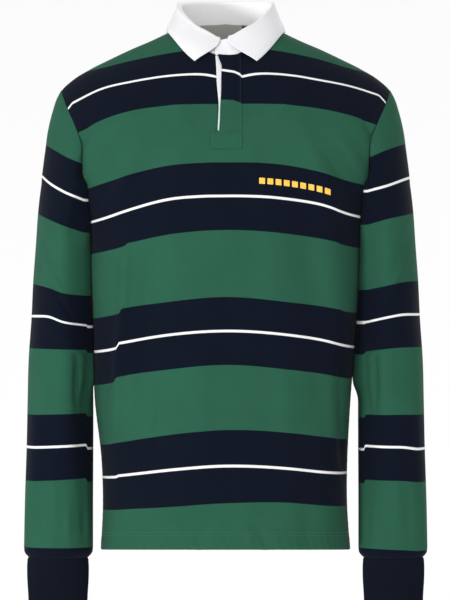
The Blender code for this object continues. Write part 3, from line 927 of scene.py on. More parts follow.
def new_group(
    name: str, inputs: Sequence[str], outputs: Sequence[str]
) -> tuple[Graph, bpy.types.Node, bpy.types.Node]:
    """Starts a node group of plain numbers.

    Args:
        name: The group's name.
        inputs: Names of its number inputs.
        outputs: Names of its number outputs.

    Returns:
        A graph on the group, its input node and its output node.
    """
    tree = bpy.data.node_groups.new(name, "ShaderNodeTree")
    for way, labels in (("INPUT", inputs), ("OUTPUT", outputs)):
        for label in labels:
            tree.interface.new_socket(name=label, in_out=way, socket_type="NodeSocketFloat")
    graph = Graph(tree)
    return graph, graph.node("NodeGroupInput"), graph.node("NodeGroupOutput")


def knit_loops_group() -> bpy.types.NodeTree:
    """Height of knitted loops: rows of small V shapes in columns.

    The leg is the distance from the column's middle, from 0 to 1. The height is 0.6 times 1 minus the leg
    squared, plus 0.4 times a sine of the course that the leg shifts by half a loop.

    Returns:
        The node group.
    """
    graph, given, result = new_group("knit loops", ("Across", "Along", "Column", "Course"), ("Height",))
    part = graph.math("FRACT", graph.math("DIVIDE", given.outputs["Across"], given.outputs["Column"]))
    leg = graph.math("ABSOLUTE", graph.math("MULTIPLY_ADD", part, 2.0, -1.0))
    course = graph.math("DIVIDE", given.outputs["Along"], given.outputs["Course"])
    turn = graph.math("MULTIPLY", graph.math("MULTIPLY_ADD", leg, 0.5, course), 2 * np.pi)
    loop = graph.math("MULTIPLY_ADD", graph.math("SINE", turn), 0.2, 0.2)
    round_leg = graph.math("MULTIPLY_ADD", graph.math("MULTIPLY", leg, leg), -0.6, 0.6)
    graph.link(graph.math("ADD", loop, round_leg), result, "Height")
    return graph.tree


def stripe_group() -> bpy.types.NodeTree:
    """Masks of a repeated wide stripe and of the thin line in its middle.

    The distance is how far a height is from the nearest stripe's middle. A mask is the stripe's half-width
    less the distance, over the edge's softness, plus a half, kept from 0 to 1.

    Returns:
        The node group.
    """
    names = ("Height", "Repeat", "Wide Half", "Thin Half", "Softness")
    graph, given, result = new_group("stripes", names, ("Wide", "Thin"))
    part = graph.math("ADD", graph.math("DIVIDE", given.outputs["Height"], given.outputs["Repeat"]), 0.5)
    off = graph.math("ABSOLUTE", graph.math("SUBTRACT", graph.math("FRACT", part), 0.5))
    distance = graph.math("MULTIPLY", off, given.outputs["Repeat"])
    for half, output in (("Wide Half", "Wide"), ("Thin Half", "Thin")):
        inside = graph.math("SUBTRACT", given.outputs[half], distance)
        share = graph.math("ADD", graph.math("DIVIDE", inside, given.outputs["Softness"]), 0.5)
        graph.link(graph.node("ShaderNodeClamp", {0: share}).outputs[0], result, output)
    return graph.tree


def mottle_group() -> bpy.types.NodeTree:
    """Uneven dye and lint: broad noise and fine noise round 1.

    Returns:
        The node group.
    """
    graph, given, result = new_group("mottle", ("Broad", "Fine"), ("Value",))
    place = graph.node("ShaderNodeTexCoord").outputs["Object"]
    total: object = 1.0
    for name, scale, detail in (("Broad", 22.0, 3.0), ("Fine", 900.0, 2.0)):
        links = {"Vector": place, "Scale": scale, "Detail": detail}
        noise = graph.node("ShaderNodeTexNoise", links).outputs[0]
        total = graph.math("MULTIPLY_ADD", graph.math("SUBTRACT", noise, 0.5), given.outputs[name], total)
    graph.link(total, result, "Value")
    return graph.tree


def cloth_place(graph: Graph) -> bpy.types.bpy_prop_collection:
    """The cloth's own coordinates as three sockets: across, along and spare."""
    stored = graph.node("ShaderNodeAttribute", attribute_name="cloth")
    return graph.node("ShaderNodeSeparateXYZ", {0: stored.outputs["Vector"]}).outputs


@dataclass(frozen=True)
class Groups:
    """The node groups that several finishes share."""

    knit: bpy.types.NodeTree
    stripes: bpy.types.NodeTree
    mottle: bpy.types.NodeTree

    def loops(self, graph: Graph, column: float, course: float) -> bpy.types.NodeSocket:
        """Height of knitted loops of this size."""
        place = cloth_place(graph)
        links = {"Across": place[0], "Along": place[1], "Column": column, "Course": course}
        return graph.group(self.knit, links).outputs[0]

    def tinted(self, graph: Graph, colour: object, broad: float, fine: float) -> bpy.types.NodeSocket:
        """Multiplies a colour by a number that varies round 1.

        Args:
            graph: The material's graph.
            colour: A colour socket or a plain colour.
            broad: How much it varies from place to place.
            fine: How much it varies from thread to thread.

        Returns:
            The changed colour.
        """
        value = graph.group(self.mottle, {"Broad": broad, "Fine": fine}).outputs[0]
        plain = colour if isinstance(colour, bpy.types.NodeSocket) else colour[:3]
        return graph.node("ShaderNodeVectorMath", {0: plain, 1: value}, operation="MULTIPLY").outputs[0]


class Finish:
    """A node material in the making."""

    def __init__(self, name: str) -> None:
        """Starts a material of this name."""
        self.material = bpy.data.materials.new(name)
        self.material.use_nodes = True
        self.graph = Graph(self.material.node_tree)
        self.shader = self.material.node_tree.nodes["Principled BSDF"]

    def bump(self, height: bpy.types.NodeSocket, strength: float, distance: float) -> None:
        """Links a bump of this height, strength and distance to the shader."""
        links = {"Strength": strength, "Distance": distance, "Height": height}
        self.graph.link(self.graph.node("ShaderNodeBump", links).outputs[0], self.shader, "Normal")

    def settle(self, colour: object, **values: float) -> bpy.types.Material:
        """Sets the shader's colour and plain inputs.

        Args:
            colour: A colour socket or a plain colour.
            values: A number for each input, with _ for each space in its name.

        Returns:
            The material.
        """
        if isinstance(colour, bpy.types.NodeSocket):
            self.graph.link(colour, self.shader, "Base Color")
        else:
            self.shader.inputs["Base Color"].default_value = colour
        for name, value in values.items():
            self.shader.inputs[name.replace("_", " ")].default_value = value
        return self.material


@dataclass(frozen=True)
class StripedJersey:
    """Heavy cotton jersey with wide navy stripes on green and a thin white line in each."""

    green: tuple = (0.0197, 0.0895, 0.0537, 1.0)
    navy: tuple = (0.0029, 0.0051, 0.0122, 1.0)
    white: tuple = (0.800, 0.800, 0.790, 1.0)
    repeat: float = 0.1844
    navy_half: float = 0.0460
    white_half: float = 0.0017
    softness: float = 0.0007
    column: float = 0.0011
    course: float = 0.0009
    bump: float = 0.45
    bump_depth: float = 0.0003
    broad: float = 0.20
    fine: float = 0.30

    def make(self, groups: Groups) -> bpy.types.Material:
        """Makes the material.

        Args:
            groups: The shared node groups.

        Returns:
            The material.
        """
        finish = Finish("striped jersey")
        graph = finish.graph
        links = {
            "Height": cloth_place(graph)[1],
            "Repeat": self.repeat,
            "Wide Half": self.navy_half,
            "Thin Half": self.white_half,
            "Softness": self.softness,
        }
        stripes = graph.group(groups.stripes, links)
        ground = graph.mix(stripes.outputs["Wide"], self.green, self.navy)
        colour = graph.mix(stripes.outputs["Thin"], ground, self.white)
        finish.bump(groups.loops(graph, self.column, self.course), self.bump, self.bump_depth)
        tinted = groups.tinted(graph, colour, self.broad, self.fine)
        return finish.settle(
            tinted, Roughness=0.88, Specular_IOR_Level=0.06, Sheen_Weight=0.03, Sheen_Roughness=0.45
        )


@dataclass(frozen=True)
class Rib:
    """Navy rib knit for the cuffs. The ribs themselves are in the mesh."""

    navy: tuple = (0.0030, 0.0050, 0.0115, 1.0)
    loop: float = 0.0010
    bump: float = 0.5
    bump_depth: float = 0.0003
    broad: float = 0.10
    fine: float = 0.30

    def make(self, groups: Groups) -> bpy.types.Material:
        """Makes the material.

        Args:
            groups: The shared node groups.

        Returns:
            The material.
        """
        finish = Finish("navy rib")
        finish.bump(groups.loops(finish.graph, self.loop, self.loop), self.bump, self.bump_depth)
        tinted = groups.tinted(finish.graph, self.navy, self.broad, self.fine)
        return finish.settle(
            tinted, Roughness=0.9, Specular_IOR_Level=0.06, Sheen_Weight=0.03, Sheen_Roughness=0.5
        )


@dataclass(frozen=True)
class Woven:
    """A plain woven cloth with slanted ribs, such as the collar's twill or the label's satin."""

    name: str
    colour: tuple
    rib: float
    slant: float
    depth: float
    roughness: float
    # inner: painted light. A brighter copy of the colour, mixed in where the cloth's spare coordinate is 1,
    # stands in for light on the collar's shaded inside.
    inner: Optional[tuple] = None
    thread_share: float = 0.6
    thread_height: float = 0.35
    bump: float = 0.4
    broad: float = 0.03
    fine: float = 0.06

    def make(self, groups: Groups) -> bpy.types.Material:
        """Makes the material: ribs are a sine of across plus slant times along, crossed by fine threads.

        Args:
            groups: The shared node groups.

        Returns:
            The material.
        """
        finish = Finish(self.name)
        graph = finish.graph
        # The spare coordinate is the mask of the painted light on the leaf's tucked inside.
        across, along, inside = cloth_place(graph)
        lean = graph.math("MULTIPLY_ADD", along, self.slant, across)
        ribs = graph.math("SINE", graph.math("MULTIPLY", lean, 2 * np.pi / self.rib))
        turns = 2 * np.pi / (self.rib * self.thread_share)
        threads = graph.math("SINE", graph.math("MULTIPLY", along, turns))
        finish.bump(graph.math("MULTIPLY_ADD", threads, self.thread_height, ribs), self.bump, self.depth)
        # Painted light: the mask mixes in the brighter inner colour, which makes up for the shade inside the
        # collar.
        colour = graph.mix(inside, self.colour, self.inner) if self.inner else self.colour
        tinted = groups.tinted(graph, colour, self.broad, self.fine)
        return finish.settle(tinted, Roughness=self.roughness, Specular_IOR_Level=0.3, Sheen_Weight=0.1)


@dataclass(frozen=True)
class ThreadFinish:
    """Sewing or embroidery thread with a fine twist."""

    name: str
    colour: tuple
    roughness: float = 0.5
    twist: float = 4000.0
    bump: float = 0.3
    bump_depth: float = 0.0001
    broad: float = 0.05
    fine: float = 0.25

    def make(self, groups: Groups) -> bpy.types.Material:
        """Makes the material.

        Args:
            groups: The shared node groups.

        Returns:
            The material.
        """
        finish = Finish(self.name)
        graph = finish.graph
        place = graph.node("ShaderNodeTexCoord").outputs["Object"]
        twist = graph.node("ShaderNodeTexNoise", {"Vector": place, "Scale": self.twist, "Detail": 1.0})
        finish.bump(twist.outputs[0], self.bump, self.bump_depth)
        tinted = groups.tinted(graph, self.colour, self.broad, self.fine)
        return finish.settle(tinted, Roughness=self.roughness, Sheen_Weight=0.1)


@dataclass(frozen=True)
class Finishes:
    """All the finishes of the shirt."""

    jersey: bpy.types.Material
    rib: bpy.types.Material
    twill: bpy.types.Material
    label: bpy.types.Material
    green_thread: bpy.types.Material
    white_thread: bpy.types.Material
    navy_thread: bpy.types.Material
    yellow_thread: bpy.types.Material


def make_finishes() -> Finishes:
    """Makes every material of the shirt.

    Returns:
        The finishes.
    """
    groups = Groups(knit_loops_group(), stripe_group(), mottle_group())
    # The second white is painted light: a brighter copy of the twill's white for the leaf's tucked inside,
    # which lifts the shade there.
    white, painted_light_white = (0.745, 0.742, 0.765, 1.0), (0.96, 0.96, 0.965, 1.0)
    twill = Woven("white twill", white, 0.0011, 1.0, 0.00012, 0.75, painted_light_white)
    label = Woven("grey label", (0.42, 0.41, 0.37, 1.0), 0.0007, 0.2, 0.00010, 0.55)
    return Finishes(
        jersey=StripedJersey().make(groups),
        rib=Rib().make(groups),
        twill=twill.make(groups),
        label=label.make(groups),
        green_thread=ThreadFinish("green thread", (0.024, 0.104, 0.062, 1.0)).make(groups),
        white_thread=ThreadFinish("white thread", (0.84, 0.84, 0.86, 1.0)).make(groups),
        navy_thread=ThreadFinish("navy thread", (0.0048, 0.0070, 0.0145, 1.0)).make(groups),
        yellow_thread=ThreadFinish("yellow satin stitch", (0.92, 0.52, 0.055, 1.0), 0.38).make(groups),
    )


@dataclass(frozen=True)
class Torso:
    """The worn body's surface, which everything on the torso is placed on."""

    armpit: float = -0.265
    tip_half: float = 0.2295
    tip_height: float = -0.080
    hem: float = -0.722
    front_hem_rise: float = 0.009
    squareness: float = 2.4
    roll: float = 0.100
    roll_squareness: float = 2.2
    edge_fade: float = 2.5
    neck_half: float = 0.072
    neck_front: float = 0.071
    neck_back: float = 0.058
    neck_spread: float = 0.9
    slot_half: float = 0.0133
    neck_share: float = 6 / 13
    slot_share: float = 0.353
    seam: float = 0.0002
    halvings: int = 40
    dip: float = 0.0080
    dip_across: float = 0.0055
    dip_width: float = 0.028
    dip_height: float = 0.068
    dip_reach: float = 0.022
    tip_from: float = 0.213
    tip_slope: float = 1.05
    slope_step: float = 0.0015
    slope_limit: float = 0.97
    fade_in: float = 0.3
    fade_out: float = 0.25

    def half_width(self, x: Array, z: Array) -> Array:
        """The body's half-width at a height, on the side that x is on."""
        return np.where(x < 0, look_up(BODY, "right", z), look_up(BODY, "left", z))

    def relief(self, x: Array, z: Array, creases: Sequence[Crease]) -> Array:
        """How far creases stand out: each is its height times a bell along it and a bell across it.

        Args:
            x: Places across.
            z: Heights.
            creases: The creases.

        Returns:
            The relief at each place.
        """
        total = np.zeros(np.broadcast(x, z).shape)
        for crease in creases:
            aside = x - crease.across - crease.lean * (z - crease.up)
            total = total + crease.height * bell(z - crease.up, crease.length) * bell(aside, crease.width)
        return total

    def depth(self, x: Array, z: Array, face: Face) -> Array:
        """How far the cloth stands before or behind the middle plane.

        It is a squared ellipse across the body times a rounded roll-over below the shoulder line.

        Args:
            x: Places across.
            z: Heights.
            face: Front or back.

        Returns:
            The depth at each place.
        """
        girth = rounded(np.clip(np.abs(x) / self.half_width(x, z), 0, 1), self.squareness)
        below = np.clip((look_up(RIDGE, "height", np.abs(x)) - z) / self.roll, 0, 1)
        over = rounded(1 - below, self.roll_squareness)
        creases = self.relief(x, z, FRONT_CREASES if face is Face.FRONT else BACK_CREASES)
        return (look_up(BODY, face.value, z) + creases) * girth * over

    def height_at(self, x: Array, y: Array, face: Face) -> Array:
        """The height where the cloth stands y away from the middle plane, found by halving.

        Args:
            x: Places across.
            y: Distances from the middle plane.
            face: Front or back.

        Returns:
            The heights.
        """
        high = look_up(RIDGE, "height", np.abs(x))
        low = high - self.roll
        for _ in range(self.halvings):
            middle = (low + high) / 2
            deep = self.depth(x, middle, face) > y
            low = np.where(deep, middle, low)
            high = np.where(deep, high, middle)
        return (low + high) / 2

    def rest_height(self, x: Array, y: Array) -> Array:
        """Height of the cloth under a place seen from above."""
        front = self.height_at(x, np.abs(y), Face.FRONT)
        return np.where(y < 0, front, self.height_at(x, np.abs(y), Face.BACK))

    def around_neck(self, angle: Array, half: Array, front: Array, back: Array) -> tuple[Array, Array]:
        """x and y on an ellipse round the neck. The angle is in degrees from the middle front."""
        turn = np.radians(angle)
        deep = np.where(np.cos(turn) > 0, front, back)
        return half * np.sin(turn), -deep * np.cos(turn)

    def places(self, to_neck: int, beyond: int) -> Array:
        """Places of the columns across a panel, from -1 to 1.

        Args:
            to_neck: Columns between the slot and the neck's side, on each half.
            beyond: Columns between the neck's side and the panel's edge, on each half.

        Returns:
            The places, with the slot's edge and the neck's side among them.
        """
        slot, neck = self.slot_place(), self.neck_place()
        inner = np.linspace(0, slot, 6)[1:]
        middle = np.linspace(slot, neck, to_neck + 1)[1:]
        outer = neck + (1 - neck) * steps_with_close_ends(beyond, 0.006)[1:]
        half = np.concatenate([inner, middle, outer])
        return np.concatenate([-half[::-1], [0.0], half])

    def slot_place(self) -> float:
        """The slot's edge, as a place across a panel."""
        return float(np.arcsin(self.slot_half / look_up(BODY, "left", self.armpit)) / (np.pi / 2))

    def neck_place(self) -> float:
        """The neck's side, as a place across a panel."""
        return self.slot_place() * (1 - self.neck_share) + self.neck_share

    def top_half(self, across: Array) -> Array:
        """Distance from the middle of each column's top: round the neck, then along the shoulder.

        Args:
            across: Places of the columns, from -1 to 1.

        Returns:
            The distances.
        """
        neck = self.neck_place()
        places = np.abs(across)
        turn = np.clip(places / neck, 0, 1) ** self.neck_spread * np.pi / 2
        beyond = np.clip((places - neck) / (1 - neck), 0, 1)
        return self.neck_half * np.sin(turn) + (self.tip_half - self.neck_half) * beyond

    def top_height(self, x: Array, face: Face) -> Array:
        """Height of a panel's top edge: the neckline, or the shoulder seam."""
        inside = np.abs(x) < self.neck_half - 1e-6
        deep = self.neck_front if face is Face.FRONT else self.neck_back
        edge = deep * np.sqrt(np.clip(1 - (x / self.neck_half) ** 2, 0, 1))
        return np.where(inside, self.height_at(x, edge, face), look_up(RIDGE, "height", np.abs(x)))

    def armhole_half(self, z: Array, x_side: float, face: Face) -> Array:
        """Distance of the armhole from the middle at a height."""
        heights = [row.height for row in ARMHOLE] + [self.tip_height]
        parts = [getattr(row, face.value) for row in ARMHOLE]
        parts.append(self.tip_half / float(self.half_width(x_side, self.tip_height)))
        return self.half_width(x_side, z) * smooth(z, heights, parts)

    def plan(self, face: Face, across: Array, low: Array, high: Array) -> tuple[Array, Array]:
        """x and z of a panel's grid, from the hem to the armpit and on to the top edge.

        Args:
            face: Front or back.
            across: Places of the columns.
            low: Parts of the way from the hem to the armpit.
            high: Parts of the way from the armpit to the top.

        Returns:
            Two grids.
        """
        across = across[None, :]
        side = np.abs(np.sin(across * np.pi / 2))
        rise = self.front_hem_rise * rounded(side, self.squareness)
        hem = self.hem + (rise if face is Face.FRONT else 0 * across)
        low_z = hem + (self.armpit - hem) * low[:, None]
        low_x = self.half_width(across, low_z) * np.sin(across * np.pi / 2)
        high = high[:, None]
        top_x = np.sign(across) * self.top_half(across)
        top_z = self.top_height(top_x, face)
        edge = np.abs(across) ** self.edge_fade
        climb = (1 - edge) * np.sin(high * np.pi / 2) + edge * (1 - np.cos(high * np.pi)) / 2
        high_z = self.armpit + (top_z - self.armpit) * climb
        base_x = self.half_width(across, self.armpit + 0 * across) * np.sin(across * np.pi / 2)
        high_x = base_x + (top_x - base_x) * ease(high)
        seam_z = self.armpit + (self.tip_height - self.armpit) * (1 - np.cos(np.pi * high[:, 0])) / 2
        for column in (0, -1):
            side = across[0, column]
            seam = side * self.armhole_half(seam_z, side, face)
            pull = (seam - high_x[:, column])[:, None]
            high_x = high_x + pull * edge * (np.sign(across) == side)
        return np.vstack([low_x, high_x]), np.vstack([low_z, high_z])

    def on_body(self, x: Array, z: Array, face: Face, lift: float | Array = 0.0) -> Array:
        """Points on the front or back, raised from it along its normals.

        Args:
            x: Places across, as a grid.
            z: Heights, as a grid.
            face: Front or back.
            lift: How far out of the cloth's outer side.

        Returns:
            The points.
        """
        points = np.stack([x, face.out * (self.depth(x, z, face) + self.seam / 2), z], axis=-1)
        creases = FINE_FRONT if face is Face.FRONT else FINE_BACK
        fine = self.relief(x, z, creases) + self.folded(x, z, face)[0]
        return points + (fine + lift)[..., None] * self.normals_at(x, z, face)

    def normals_at(self, x: Array, z: Array, face: Face) -> Array:
        """Outward normals of the body: the slopes of its depth across and up, by small steps.

        Args:
            x: Places across.
            z: Heights.
            face: Front or back.

        Returns:
            Unit normals.
        """
        step = self.slope_step
        limit = self.slope_limit * self.half_width(x, z)
        x = np.clip(x, -limit, limit)
        slope_x = (self.depth(x + step, z, face) - self.depth(x - step, z, face)) / (2 * step)
        slope_z = (self.depth(x, z + step, face) - self.depth(x, z - step, face)) / (2 * step)
        return unit(np.stack([-slope_x, face.out * np.ones_like(slope_x), -slope_z], axis=-1))

    def folded(self, x: Array, z: Array, face: Face) -> tuple[Array, Array]:
        """Relief and stripe slip of the fold lines.

        The relief is a bell across the line. The slip rises smoothly from 0 to its full size over the line's
        width, on the side away from the body's middle. Both fade over the line's ends.

        Args:
            x: Places across.
            z: Heights.
            face: Front or back.

        Returns:
            The relief and the slip.
        """
        relief = np.zeros(np.broadcast(x, z).shape)
        slip = np.zeros_like(relief)
        for fold in FRONT_FOLDS if face is Face.FRONT else BACK_FOLDS:
            part = (fold.top_up - z) / (fold.top_up - fold.foot_up)
            line = fold.top_across + (fold.foot_across - fold.top_across) * part
            fade = ease(part / self.fade_in) * ease((1 - part) / self.fade_out)
            beyond = (x - line) * np.sign(fold.top_across)
            relief = relief + fold.height * fade * bell(beyond, fold.width * 2)
            slip = slip + fold.slip * fade * ease(beyond / fold.width + 0.5)
        return relief, slip

    def stripes(self, x: Array, z: Array, face: Face) -> Array:
        """The cloth's along coordinate, which the stripes follow.

        Args:
            x: Places across.
            z: Heights.
            face: Front or back.

        Returns:
            The distance on the cloth from the second stripe's middle, upwards.
        """
        beyond = self.tip_slope * np.clip(np.abs(x) - self.tip_from, 0, None)
        along = cloth_along(BODY_STRIPES, STRIPE_PLACES, x, z) + self.folded(x, z, face)[1] + beyond
        if face is Face.BACK:
            return along
        across = bell(x - self.dip_across, self.dip_width)
        return along + self.dip * across * bell(z + self.dip_height, self.dip_reach)

    def side_at(self, side: float, y: Array, z: Array) -> Array:
        """The body's half-width where it is y away from the middle plane."""
        deep = np.where(y < 0, look_up(BODY, "front", z), look_up(BODY, "back", z))
        part = np.clip(np.abs(y) / deep, 0, 0.99)
        return self.half_width(side, z) * rounded(part, self.squareness)


@dataclass(frozen=True)
class Panels:
    """The front and the back: jersey cut from hem to shoulder, with the placket's slot in the front."""

    torso: Torso
    finishes: Finishes
    thickness: float = 0.0020
    hem_extra: float = 0.0010
    hem_height: float = 0.022
    hem_taper: float = 0.013
    to_neck: int = 44
    beyond: int = 46
    low_rows: int = 100
    high_rows: int = 104
    seam_valley: float = 0.0005
    seam_width: float = 0.0035
    slot_reach: float = 0.012
    slot_foot: float = -0.17
    pucker: float = 0.00025
    pucker_pitch: float = 0.011
    pucker_width: float = 0.010
    roping: float = 0.00035
    roping_pitch: float = 0.013
    roping_lean: float = 0.4
    roping_height: float = 0.010
    roping_width: float = 0.009
    groove: float = 0.0004
    groove_height: float = 0.0205
    groove_width: float = 0.0022
    stitch_heights: tuple = (0.0180, 0.0225)

    def sheet(self, face: Face) -> tuple[Sheet, Array, Array]:
        """The panel's grid with its seams, hem and fine creases.

        Args:
            face: Front or back.

        Returns:
            The sheet, its wall's thickness and the kept cells.
        """
        torso = self.torso
        across = torso.places(self.to_neck, self.beyond)
        low = steps_with_close_ends(self.low_rows, 0.002)[:-1]
        high = np.unique(np.concatenate([steps_with_close_ends(self.high_rows, 0.004), [torso.slot_share]]))
        x, z = torso.plan(face, across, low, high)
        keep = np.ones((len(x) - 1, x.shape[1] - 1), bool)
        if face is Face.FRONT:
            shift = look_up(SLOT_EDGE, "edge", z) + torso.slot_half
            x = x + shift * bell(x + torso.slot_half, self.slot_reach) * ease((z - self.slot_foot) / 0.02)
            middle = len(across) // 2
            first_row = len(low) + int(np.argmin(np.abs(high - torso.slot_share)))
            keep[first_row:, middle - 5 : middle] = False
        points = torso.on_body(x, z, face)
        from_hem = running_length(points, 0)
        from_top = from_hem[-1:] - from_hem
        row_length = running_length(points, 1)
        from_side = np.minimum(row_length, row_length[:, -1:] - row_length)
        normals = grid_normals(points, face is Face.BACK)
        valley = self.seam_valley * bell(from_side, self.seam_width)
        shoulder = (np.abs(across) >= torso.neck_place() - 1e-6)[None, :]
        valley = valley + self.seam_valley * bell(from_top, self.seam_width) * shoulder
        waves = np.sin(2 * np.pi * from_hem / self.pucker_pitch)
        twist = np.sin(2 * np.pi * (row_length + self.roping_lean * from_hem) / self.roping_pitch)
        pucker = self.pucker * waves * bell(from_side, self.pucker_width)
        roping = self.roping * twist * bell(from_hem - self.roping_height, self.roping_width)
        groove = self.groove * bell(from_hem - self.groove_height, self.groove_width)
        relief = pucker + roping - groove - valley
        points = points + relief[..., None] * normals
        cloth = np.stack([row_length, torso.stripes(x, z, face), from_hem], axis=-1)
        hem = ease((z[0] + self.hem_height + self.hem_taper - z) / self.hem_height)
        return Sheet(points, cloth), self.thickness + self.hem_extra * hem, keep

    def build(self, face: Face) -> None:
        """Builds one panel and declares it in place of the imported panel.

        Args:
            face: Front or back.
        """
        sheet, thickness, keep = self.sheet(face)
        back = face is Face.BACK
        inward = -grid_normals(sheet.points, back)
        torso = self.torso
        across = torso.places(self.to_neck, self.beyond)
        seam_rows = sheet.points[:, 0, 2] <= torso.armpit + 1e-6
        for column in (0, -1):
            inward[seam_rows, column, 1] = 0.0
        shoulder = np.abs(across) >= torso.neck_place() - 1e-6
        inward[-1, shoulder, 1] = 0.0
        name = f"{face.value}_jersey"
        material = self.finishes.jersey
        piece = cloth_wall(name, sheet, thickness, material, flip=back, keep=keep, inward=unit(inward))
        declare(piece, f"{face.value}_panel")

    def hem_lines(self, face: Face) -> list[tuple[Array, Array]]:
        """The twin rows of hem stitches.

        Args:
            face: Front or back.

        Returns:
            A path and its normals for each row.
        """
        sheet, _, _ = self.sheet(face)
        normals = grid_normals(sheet.points, face is Face.BACK)
        from_hem = sheet.cloth[..., 2]
        lines = []
        columns = np.arange(sheet.points.shape[1])
        for height in self.stitch_heights:
            above = np.argmax(from_hem > height, axis=0)
            low, high = from_hem[above - 1, columns], from_hem[above, columns]
            part = ((height - low) / (high - low))[:, None]
            path = sheet.points[above - 1, columns] * (1 - part) + sheet.points[above, columns] * part
            lines.append((path[1:-1], normals[above, columns][1:-1]))
        return lines


@dataclass(frozen=True)
class Sleeve:
    """A sleeve: rings that start as the armhole and turn into level sections beside the body."""

    torso: Torso
    finishes: Finishes
    side: float
    word: str
    thickness: float = 0.0020
    clear: float = 0.0020
    ease_in: float = 0.025
    set_out: float = 0.0006
    end: float = -0.7175
    fade: float = 0.40
    around: int = 112
    along: int = 210
    pouch_rows: int = 16
    press: float = 0.0130
    press_reach: float = 0.030
    contact: float = 0.0006
    roundness: float = 0.0015
    strip_edge: float = 0.1930
    strip_slip: float = 0.0050
    strip_top: float = -0.40
    strip_foot: float = -0.72
    strip_front: float = -0.012
    press_top: float = -0.195
    press_foot: float = -0.525
    cap_rise: float = 0.0004
    cap_width: float = 0.0035
    gathers: int = 60
    gather_depth: float = 0.0003
    gather_width: float = 0.009
    pleats: int = 26
    pleat_share: float = 0.010

    def armhole(self, turns: Array) -> Array:
        """The armhole's edge, from the shoulder's tip forward, under the arm and up the back.

        Args:
            turns: Angles round it.

        Returns:
            Points, one an angle.
        """
        torso = self.torso
        part = (1 + np.cos(turns)) / 2
        z = torso.armpit + (torso.tip_height - torso.armpit) * part
        loop = np.empty((len(turns), 3))
        front = np.sin(turns) >= -1e-9
        for face, chosen in ((Face.FRONT, front), (Face.BACK, ~front)):
            x = self.side * torso.armhole_half(z, self.side, face)
            loop[chosen] = np.stack([x, face.out * torso.depth(x, z, face), z], axis=-1)[chosen]
        return loop

    def relief(self, turns: Array, along: Array, creases: Sequence[SleeveCrease]) -> Array:
        """How far creases stand out: a bell round the sleeve times a bell along it, with each one's lean.

        Args:
            turns: Angles round the sleeve.
            along: Parts of its length.
            creases: The creases.

        Returns:
            The relief at each place.
        """
        total = 0 * turns * along
        for crease in creases:
            ahead = along - crease.along
            aside = (np.degrees(turns) - crease.turn - crease.lean * ahead + 180) % 360 - 180
            total = total + crease.height * bell(aside, crease.width) * bell(ahead, crease.length)
        return total

    def stripes(self, points: Array) -> Array:
        """The cloth's along coordinate, with a step down on the narrow strip beside the underarm seam.

        Args:
            points: Points on the sleeve.

        Returns:
            The distance on the cloth from the upper stripe's middle, upwards.
        """
        x, z = np.abs(points[..., 0]), points[..., 2]
        table = LEFT_SLEEVE_STRIPES if self.side > 0 else RIGHT_SLEEVE_STRIPES
        cloth = cloth_along(table, SLEEVE_PLACES, x, z)
        inner = ease((self.strip_edge - x) / 0.0015 + 0.5)
        window = ease((self.strip_top - z) / 0.02) * ease((z - self.strip_foot) / 0.02)
        return cloth + self.strip_slip * inner * window * (points[..., 1] < self.strip_front)

    def pressed(self, points: Array, along: Array) -> Array:
        """Flattens the sleeve where it lies against the body.

        A gap g beside the body turns into half of e plus the root of e squared plus the roundness squared,
        where e is g less the press. The press fades with the gap, and above and below the contact.

        Args:
            points: The sleeve's rings.
            along: Parts of its length.

        Returns:
            The changed points.
        """
        y, z = points[..., 1], points[..., 2]
        body = self.torso.side_at(self.side, y, z) + self.contact
        gap = np.abs(points[..., 0]) - body
        window = ease((self.press_top - z) / 0.02) * ease((z - self.press_foot) / 0.045) * ease(along / 0.03)
        left = gap - self.press * window * bell(gap, self.press_reach)
        near = (left + np.sqrt(left**2 + self.roundness**2)) / 2
        changed = points.copy()
        changed[..., 0] = self.side * (body + gap + (near - gap) * window)
        return changed

    def rings(self, turns: Array, along: Array) -> Array:
        """The sleeve's outer grid from the armhole to its lower end, creased and pressed to the body.

        Args:
            turns: Angles round the sleeve, as a row.
            along: Parts of its length, as a column.

        Returns:
            Points, a ring in each row.
        """
        torso = self.torso
        outer_z = torso.tip_height + (self.end - torso.tip_height) * along
        inner_z = torso.armpit + (self.end - torso.armpit) * along
        outer_x = look_up(SLEEVE, "outer", outer_z)
        body = torso.half_width(self.side, inner_z)
        body = body + self.clear * ease((torso.armpit - inner_z) / self.ease_in)
        inner_x = np.maximum(look_up(SLEEVE, "inner", inner_z), body)
        x = (outer_x + inner_x) / 2 + (outer_x - inner_x) / 2 * np.cos(turns)
        z = (outer_z + inner_z) / 2 + (outer_z - inner_z) / 2 * np.cos(turns)
        deep = look_up(SLEEVE_DEPTH, "half", along)
        y = -look_up(SLEEVE_DEPTH, "forward", along) - deep * np.sin(turns)
        points = np.stack([self.side * x, y, z], axis=-1)
        start = self.armhole(turns[0]) + [self.side * self.set_out, 0, 0]
        fade = 1 - ease(along / self.fade)
        points = points + (start[None] - points[:1]) * fade[..., None]
        flip = self.side < 0
        relief = self.relief(turns, along, SLEEVE_CREASES + SLEEVE_FINE)
        points = points + grid_normals(points, flip, wrap=True) * relief[..., None]
        points = self.pressed(points, along)
        from_start = running_length(points, 0)
        cap = self.cap_rise * bell(from_start, self.cap_width)
        cap = cap - self.gather_depth * np.sin(turns * self.gathers) * bell(from_start, self.gather_width)
        return points - grid_normals(points, flip, wrap=True) * cap[..., None]

